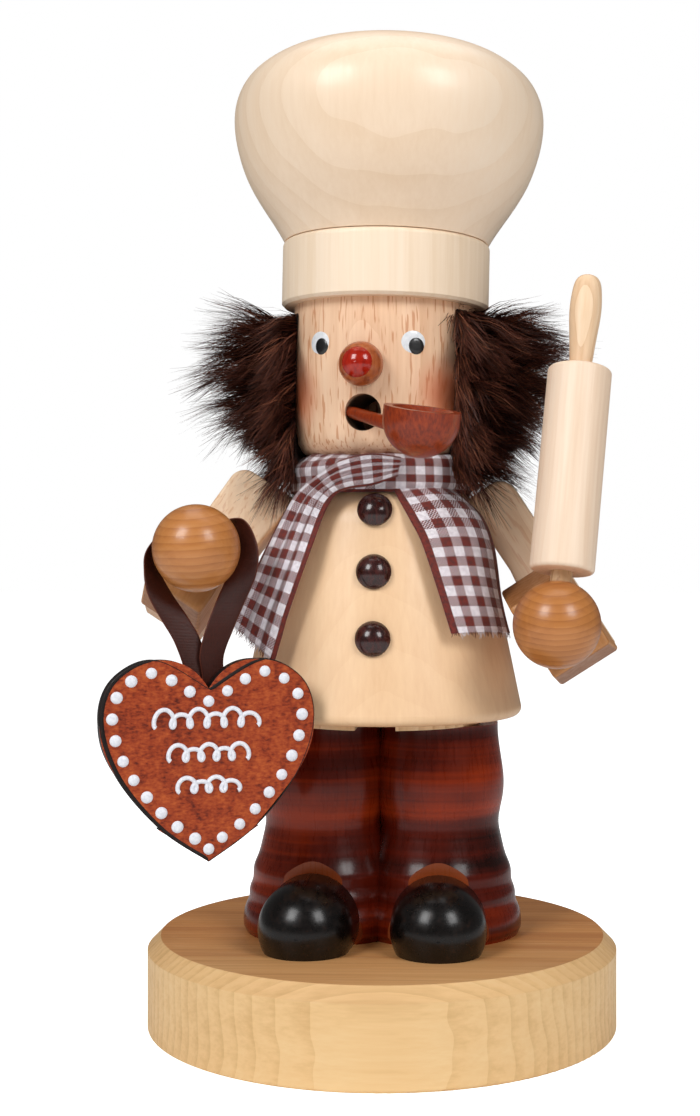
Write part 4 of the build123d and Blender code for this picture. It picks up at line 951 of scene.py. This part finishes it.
def collar_cloth(material):
    """The scarf wound round the neck: flat in front on the right, rumpled on the left and behind."""
    profile = [Vector((19.0, 166.7)), Vector((22.3, 168.5)), Vector((25.2, 168.5)), Vector((27.4, 166.3)),
               Vector((28.0, 163.0)), Vector((27.6, 160.2)), Vector((26.3, 157.9))]
    rows, columns = 160, 33
    verts, flat = [], []
    for r in range(rows):
        turn = 2 * math.pi * r / rows
        across = math.sin(turn)
        rumple = 0.35 + 0.75 * max(0.0, math.cos(turn)) + 0.45 * max(0.0, -across)
        for c in range(columns):
            s = c / (columns - 1)
            spot = eased(profile, s)
            ahead = eased(profile, min(s + 0.02, 1)) - eased(profile, max(s - 0.02, 0))
            out = Vector((-ahead.y, ahead.x)).normalized()
            fold = math.sin(2 * math.pi * 2.5 * s + 2.2 * math.sin(turn + 0.6) + 1.1) * 0.75
            bumpy = noise.noise(Vector((math.cos(turn) * 3, math.sin(turn) * 3, s * 3))) * 1.3
            spot = spot + out * rumple * (fold + bumpy) * (1 - (2 * s - 1) ** 6)
            verts.append(mm(spot.x * math.sin(turn), spot.x * math.cos(turn), spot.y))
            flat.append((s * CLOTH_WIDE * MM, turn * COLLAR_RADIUS * MM))
    faces = grid_faces(rows, columns)
    last = (rows - 1) * columns
    faces += [(last + c, last + c + 1, c + 1, c) for c in range(columns - 1)]
    mesh = mesh_of("scarf_round_neck", verts, faces)
    write_uv(mesh, flat)
    made = piece("scarf_round_neck", mesh, "upper", material)
    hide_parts("scarf_collar")
    return thickened(made, CLOTH_THICK)


def scarf():
    """Gingham scarf in three lengths: round the neck, the crossed and pleated left end, the flat right end."""
    front, worn, loose = gingham("gingham_ribbon", 0.12), gingham("gingham_collar", 0.2), thread_ends()
    left_columns, right_columns = 49, 41
    collar = collar_cloth(worn)
    left_end = cloth_strip("scarf_left_end", [
        ((7.5, -29.6, 167.4), (6.5, -30.2, 162.2), 0.3, 0.6),
        ((-1.0, -30.6, 168.4), (-0.2, -31.4, 159.6), 0.7, 0.9),
        ((-9.0, -30.2, 166.6), (-6.9, -31.5, 158.6), 1.0, 1.0),
        ((-16.0, -26.4, 162.6), (-10.6, -31.0, 157.0), 1.2, 0.9),
        ((-23.0, -22.4, 157.4), (-13.2, -31.6, 153.2), 1.3, 0.6),
        ((-27.4, -23.8, 150.0), (-15.5, -32.6, 147.5), 1.3, 0.3),
        ((-31.4, -27.5, 141.5), (-18.3, -34.6, 139.5), 1.3, 0.0),
        ((-34.8, -30.3, 133.8), (-21.8, -35.5, 129.5), 1.3, 0.0),
        ((-38.1, -32.0, 127.2), (-25.0, -35.7, 119.5), 1.3, 0.0),
        ((-40.8, -32.9, 121.0), (-27.7, -35.5, 109.9), 1.2, 0.0),
    ], left_columns, 130, 3, front, ["scarf_knot", "scarf_tail_left"])
    right_end = cloth_strip("scarf_right_end", [
        ((5.0, -26.6, 158.8), (20.9, -15.2, 159.6), 0.0, 2.2),
        ((6.9, -28.2, 155.0), (25.6, -13.8, 155.6), 0.2, 2.8),
        ((9.8, -31.4, 150.0), (30.4, -14.2, 150.5), 0.2, 3.0),
        ((13.6, -33.1, 143.0), (33.6, -15.6, 142.5), 0.3, 3.0),
        ((18.1, -34.9, 130.0), (35.6, -18.6, 128.5), 0.3, 2.8),
        ((21.8, -35.5, 117.8), (38.2, -17.8, 117.2), 0.4, 2.6),
    ], right_columns, 100, 1, front, ["scarf_tail_right"], offset_v=3.0)
    left_threads = frayed_end("left_end_threads", left_end.data, left_columns, loose, 5)
    right_threads = frayed_end("right_end_threads", right_end.data, right_columns, loose, 9)


# Fur. Heights of the pad with the share of its reach there; its reach sideways and backwards from its middle,
# which lies this far behind the head's axis; the radius at which its backing lies on the head, in millimetres.
FUR_STATIONS = ((165.8, 0.66), (173.0, 0.86), (182.0, 0.97), (196.0, 1.00), (206.0, 0.96), (211.2, 0.84))
FUR_REACH = (42.5, 31.5)
FUR_BEHIND = 8.0
FUR_ROOT = 27.9


def towards_face(turn, s):
    """How hairs near the face-side edge lean round the head to the front."""
    share = max(0.0, 1 - s / 0.16)
    side = 1 if turn > 0 else -1
    return Vector((-side * math.cos(turn), -side * math.sin(turn), 0)) * 0.6 * share


def fur_pad(name, first, last, turn_first, turn_last):
    """Closed pad of matted fur on the head between two turns round it, with the hairs' lie stored on it."""
    rows, columns = 15, 34
    head = head_place()
    verts, combs = [], []
    heights = [Vector((z, share)) for z, share in FUR_STATIONS]
    for r in range(rows):
        z, share = eased(heights, r / (rows - 1))
        level = (z - FUR_STATIONS[0][0]) / (FUR_STATIONS[-1][0] - FUR_STATIONS[0][0])
        for c in range(columns):
            s = c / (columns - 1)
            turn = math.radians(first + (last - first) * s)
            lumpy = 1 + 0.07 * noise.noise(Vector((math.cos(turn) * 4, math.sin(turn) * 4, z * 0.12)))
            hem = min(1.0, 0.72 + 1.6 * min(s / max(turn_first, 1e-6), (1 - s) / max(turn_last, 1e-6), 0.175))
            reach_x = FUR_REACH[0] * share * lumpy * hem
            reach_y = FUR_REACH[1] * share * lumpy * hem
            verts.append(mm(reach_x * math.sin(turn), FUR_BEHIND - reach_y * math.cos(turn), z))
            out = Vector((math.sin(turn), -math.cos(turn) + 0.15, 0)).normalized()
            drop = -0.14 + 0.28 * level
            lean = towards_face(turn, 1 - s if turn_last else s)
            combs.append(out + lean + Vector((0, 0, drop)))
    outer = len(verts)
    for r in range(rows):
        z = heights[0].x + (heights[-1].x - heights[0].x) * r / (rows - 1)
        for c in range(columns):
            turn = math.radians(first + (last - first) * c / (columns - 1))
            base = head.to_translation() + head.col[2].to_3d() * (z - HEAD_Z) * MM
            verts.append(base + mm(FUR_ROOT * math.sin(turn), -FUR_ROOT * math.cos(turn)))
            s = c / (columns - 1)
            lean = towards_face(turn, 1 - s if turn_last else s)
            combs.append(Vector((math.sin(turn), -math.cos(turn), -0.6)) + lean)
    faces = grid_faces(rows, columns)
    faces += [tuple(outer + i for i in reversed(face)) for face in grid_faces(rows, columns)]
    rim = [(0, c) for c in range(columns)] + [(r, columns - 1) for r in range(1, rows)]
    rim += [(rows - 1, c) for c in range(columns - 2, -1, -1)] + [(r, 0) for r in range(rows - 2, 0, -1)]
    for (r1, c1), (r2, c2) in zip(rim, rim[1:] + rim[:1]):
        a, b = r1 * columns + c1, r2 * columns + c2
        faces.append((b, a, outer + a, outer + b))
    mesh = mesh_of(name, verts, faces)
    comb = mesh.attributes.new("comb", "FLOAT_VECTOR", "POINT")
    comb.data.foreach_set("vector", [part for v in combs for part in v.normalized()])
    # The pad counts as root all over, so it gets none of the tips' painted highlight.
    write_values(mesh, "tip", [0.0] * len(verts))
    return mesh


def hair_blade():
    """One curved, tapered hair a unit long, standing along Z."""
    verts, tips = [], []
    steps = 5
    for i in range(steps + 1):
        t = i / steps
        wide = 0.5 * (1 - 0.85 * t**1.3)
        fall = 0.20 * t * t + 0.02 * math.sin(9 * t)
        verts += [(-wide, fall, t * (1 - 0.1 * t)), (wide, fall, t * (1 - 0.1 * t))]
        tips += [t, t]
    mesh = mesh_of("hair_blade", verts, [(2 * i, 2 * i + 1, 2 * i + 3, 2 * i + 2) for i in range(steps)])
    write_values(mesh, "tip", tips)
    return bpy.data.objects.new("hair_blade", mesh)


def fur_nodes(blade, material):
    """Node tree that grows hairs on a pad along its combed direction, gathered in locks. Sizes are in metres."""
    tree = bpy.data.node_groups.new("grow_fur", "GeometryNodeTree")
    tree.interface.new_socket("Geometry", in_out="INPUT", socket_type="NodeSocketGeometry")
    sizes = (
        ("Hair length", 0.015),
        ("Hair width", 0.0003),
        ("Hairs per area", 3.0e6),
        ("Stray", 0.15),
        ("Clump", 0.85),
        ("Lock size", 0.006),
        ("Lock swing", 0.7),
        ("Hem share", 0.28),
    )
    for word, value in sizes:
        tree.interface.new_socket(word, in_out="INPUT", socket_type="NodeSocketFloat").default_value = value
    tree.interface.new_socket("Geometry", in_out="OUTPUT", socket_type="NodeSocketGeometry")
    links = tree.links
    start = tree.nodes.new("NodeGroupInput")
    end = tree.nodes.new("NodeGroupOutput")

    roots = add(tree, "GeometryNodeDistributePointsOnFaces", {
        "Mesh": start.outputs["Geometry"], "Density": start.outputs["Hairs per area"], "Seed": 11,
    }).node
    comb = add(tree, "GeometryNodeInputNamedAttribute", {
        "Name": "comb",
    }, data_type="FLOAT_VECTOR", out="Attribute")
    place = add(tree, "GeometryNodeInputPosition")
    fine = add(tree, "ShaderNodeMath", {0: 1.0, 1: start.outputs["Lock size"]}, operation="DIVIDE")
    lock = add(tree, "ShaderNodeTexVoronoi", {"Vector": place, "Scale": fine}).node
    inwards = add(tree, "ShaderNodeVectorMath", {0: lock.outputs["Position"], 1: place}, operation="SUBTRACT")
    pull = add(tree, "ShaderNodeMath", {
        0: start.outputs["Clump"], 1: start.outputs["Hair length"],
    }, operation="DIVIDE")
    inwards = add(tree, "ShaderNodeVectorMath", {0: inwards, "Scale": pull}, operation="SCALE")
    swing = add(tree, "ShaderNodeVectorMath", {
        0: lock.outputs["Color"], 1: (0.5, 0.5, 0.5),
    }, operation="SUBTRACT")
    swing = add(tree, "ShaderNodeVectorMath", {
        0: swing, "Scale": start.outputs["Lock swing"],
    }, operation="SCALE")
    stray = add(tree, "FunctionNodeRandomValue", {
        0: (-1, -1, -1), 1: (1, 1, 1), "Seed": 3,
    }, data_type="FLOAT_VECTOR")
    stray = add(tree, "ShaderNodeVectorMath", {0: stray, "Scale": start.outputs["Stray"]}, operation="SCALE")
    gathered = add(tree, "ShaderNodeVectorMath", {0: comb, 1: inwards}, operation="ADD")
    loosened = add(tree, "ShaderNodeVectorMath", {0: swing, 1: stray}, operation="ADD")
    lie = add(tree, "ShaderNodeVectorMath", {0: gathered, 1: loosened}, operation="ADD")
    aim = add(tree, "FunctionNodeAlignRotationToVector", {"Vector": lie}, axis="Z")
    downward = {"Rotation": aim, "Vector": (0.0, 0.0, -1.0)}
    aim = add(tree, "FunctionNodeAlignRotationToVector", downward, axis="Y", pivot_axis="Z")
    roll = add(tree, "FunctionNodeRandomValue", {2: -0.7, 3: 0.7, "Seed": 5}, data_type="FLOAT", out=1)
    spin = add(tree, "FunctionNodeAxisAngleToRotation", {"Axis": (0, 0, 1), "Angle": roll})
    aim = add(tree, "FunctionNodeRotateRotation", {0: aim, 1: spin}, rotation_space="LOCAL")
    uneven = add(tree, "FunctionNodeRandomValue", {2: 0.6, 3: 1.1, "Seed": 7}, data_type="FLOAT", out=1)
    locked = add(tree, "ShaderNodeSeparateXYZ", {0: lock.outputs["Color"]}, out="X")
    locked = add(tree, "ShaderNodeMath", {0: locked, 1: 0.5, 2: 0.75}, operation="MULTIPLY_ADD")
    uneven = add(tree, "ShaderNodeMath", {0: uneven, 1: locked}, operation="MULTIPLY")
    level = add(tree, "ShaderNodeSeparateXYZ", {0: roots.outputs["Normal"]}, out="Z")
    hem = add(tree, "ShaderNodeMapRange", {
        "Value": level, 1: -0.7, 2: 0.1, 3: start.outputs["Hem share"], 4: 1.0,
    })
    uneven = add(tree, "ShaderNodeMath", {0: uneven, 1: hem}, operation="MULTIPLY")
    tall = add(tree, "ShaderNodeMath", {0: start.outputs["Hair length"], 1: uneven}, operation="MULTIPLY")
    scale = add(tree, "ShaderNodeCombineXYZ", {"X": start.outputs["Hair width"], "Y": tall, "Z": tall})
    hair = add(tree, "GeometryNodeObjectInfo", {"Object": blade}, out="Geometry")
    grown = add(tree, "GeometryNodeInstanceOnPoints", {
        "Points": roots.outputs["Points"], "Instance": hair, "Rotation": aim, "Scale": scale,
    })
    tint = add(tree, "FunctionNodeRandomValue", {2: 0.0, 3: 1.0, "Seed": 9}, data_type="FLOAT", out=1)
    kept = add(tree, "GeometryNodeStoreNamedAttribute", {
        "Geometry": grown, "Name": "tint", "Value": tint,
    }, data_type="FLOAT", domain="INSTANCE")
    real = add(tree, "GeometryNodeRealizeInstances", {"Geometry": kept})
    both = add(tree, "GeometryNodeJoinGeometry").node
    links.new(start.outputs["Geometry"], both.inputs[0])
    links.new(real, both.inputs[0])
    dressed = add(tree, "GeometryNodeSetMaterial", {"Geometry": both.outputs[0], "Material": material})
    links.new(dressed, end.inputs[0])
    return tree


def grown(mesh, tree, sizes):
    """The mesh that a node tree makes of another, with its named sizes set."""
    made = bpy.data.objects.new(mesh.name, mesh)
    bpy.context.scene.collection.objects.link(made)
    growth = made.modifiers.new("growth", "NODES")
    growth.node_group = tree
    for socket in tree.interface.items_tree:
        if socket.in_out == "INPUT" and socket.name in sizes:
            growth[socket.identifier] = sizes[socket.name]
    made.update_tag()
    dg = bpy.context.evaluated_depsgraph_get()
    baked = bpy.data.meshes.new_from_object(made.evaluated_get(dg), preserve_all_data_layers=True, depsgraph=dg)
    bpy.data.objects.remove(made)
    return baked


def hair():
    """Fur at both sides of the face and behind, brushed outwards and down."""
    coat = fur()
    tree = fur_nodes(hair_blade(), coat)
    strips = (
        ("fur_left", "hair_left", -151, -64, 0.0, 1.0),
        ("fur_right", "hair_right", 52, 151, 1.0, 0.0),
        ("fur_back", "hair_back", 149, 211, 0.0, 0.0),
    )
    for name, node, first, last, turn_first, turn_last in strips:
        pad = fur_pad(name + "_pad", first, last, turn_first, turn_last)
        mesh = grown(pad, tree, {"Hair length": 0.021, "Hair width": 0.00036, "Hairs per area": 2.2e6})
        mesh.name = name
        made = piece(name, mesh, "upper", coat)
        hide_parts(node)


# Dressing the figure
def wooden(node, name, tones, **finish):
    """Gives a CAD node a wood of its own."""
    coated(node, wood(name, tones, **finish))


def turned_parts():
    """Finished woods, stains and lacquers for the CAD's own pieces."""
    coated("base_plate", pine_base())
    trousers, shoes = stained_trousers(), black_shoes()
    for side in ("left", "right"):
        coated(f"leg_{side}", trousers)
        coated(f"shoe_{side}", shoes)
    # Lime, turned, sanded and waxed: pale and even, with hardly any figure and a soft shine
    wooden("jacket", "lime_jacket", ("fde3c4", "f6d0a6", "e0b082"), core=(-6, 70, 0), ring=3.0,
           ring_share=0.07, fibre_share=0.22, cloud_share=0.3, end_dark=0.3, polish=0.12, rough=(0.36, 0.48))
    wooden("waist_plate", "lime_waist", ("f6dcb8", "e9c79a", "c99b68"))
    # The crown's wide rings come out as ovals on its front
    wooden("hat_dome", "lime_dome", ("feedd8", "f8dfc3", "e3c19b"), core=(-9, 44, 0), ring=5.2,
           ring_share=0.14, fibre_share=0.16, cloud_share=0.28, end_dark=0.2, polish=0.15, rough=(0.36, 0.46))
    wooden("hat_band", "lime_band", ("fff1de", "f9e3c9", "e6c8a2"), core=(16, 60, 0), ring=3.4,
           ring_share=0.10, fibre_share=0.26, cloud_share=0.25, rough=(0.4, 0.5))
    coated("head", face_wood())
    # Stained and lacquered beads: glassy on the nose tip and buttons, softer on its boss and the pipe
    coated("nose_boss", lacquer("stained_boss", ("7d3617", "ab5629", "c06a37"), 0.3))
    coated("nose_tip", lacquer("red_lacquer", ("8a1405", "a81c07", "b62a10"), 0.14))
    mahogany = lacquer("varnished_mahogany", ("6a2006", "882d08", "a03c0c"), 0.32, 0.769, gloss=0.35)
    coated("pipe_stem", mahogany)
    coated("pipe_bowl", mahogany)
    dark = lacquer("dark_button_gloss", ("1c0b0a", "351513", "4d1e1a"), 0.22, 1.111)
    for place in ("bottom", "middle", "top"):
        coated(f"button_{place}", dark)
    # Sleeves of plain lime, cuffs and ball hands of warmer alder with clear rings
    fall = math.radians(ARM_FALL)
    for side, sign in (("left", -1), ("right", 1)):
        down = (sign * math.cos(fall), 0, -math.sin(fall))
        wooden(f"upper_arm_{side}", f"lime_sleeve_{side}", ("fde6cd", "f4d4b2", "d9aa7e"), grain=down,
               core=(30 * sign, 50, 120), ring_share=0.12, flecks=0.35, end_dark=0.45, edge=0.5)
        wooden(f"forearm_{side}", f"alder_cuff_{side}", ("dca878", "c68a52", "905527"),
               grain=(sign * 0.5, -0.1, -0.85), core=(60 * sign, 20, 120), ring=2.4, ring_share=0.2,
               end_dark=0.5, edge=0.5)
        wooden(f"hand_{side}", f"alder_ball_{side}", ("d49a63", "bd7a3f", "8e4c1f"), grain=(1, 0.1, 0.05),
               core=(0, -30, 20), ring=1.9, ring_share=0.26, fibre_share=0.22, cloud_share=0.25,
               end_dark=0.3, polish=0.25, rough=(0.3, 0.4))
    wooden("pin_barrel", "lime_pin", ("fdebd7", "f6dcc2", "dfb995"), grain=PIN_AXIS, core=(56, 0, 150),
           ring=2.2, ring_share=0.12, end_dark=0.45)
    wooden("pin_handle", "lime_handle", ("fce4c8", "f1cfa9", "cf9f70"), grain=PIN_AXIS, core=(64, 12, 210),
           ring=1.6, ring_share=0.3)
    # Raw beech dowels: unpolished, pinkish brown with short flecks
    raw = wood("raw_beech", ("ecd0a8", "dcb98d", "b98c5c"), flecks=0.4)
    hidden = ["pin_foot", "neck_sleeve", "hat_dowel"]
    hidden += [f"{word}_dowels" for word in ("leg", "waist", "shoe", "shoulder", "elbow", "wrist")]
    for node in hidden:
        coated(node, raw)
    coated("incense_tray", tray_brass())
    coated("heart", gingerbread())


place_camera()
studio()
turned_parts()
painted_face()
scorched_edge(edge_stain())
sugar = icing()
icing_dots(sugar)
icing_loops(sugar)
ribbon(satin())
scarf()
hair()
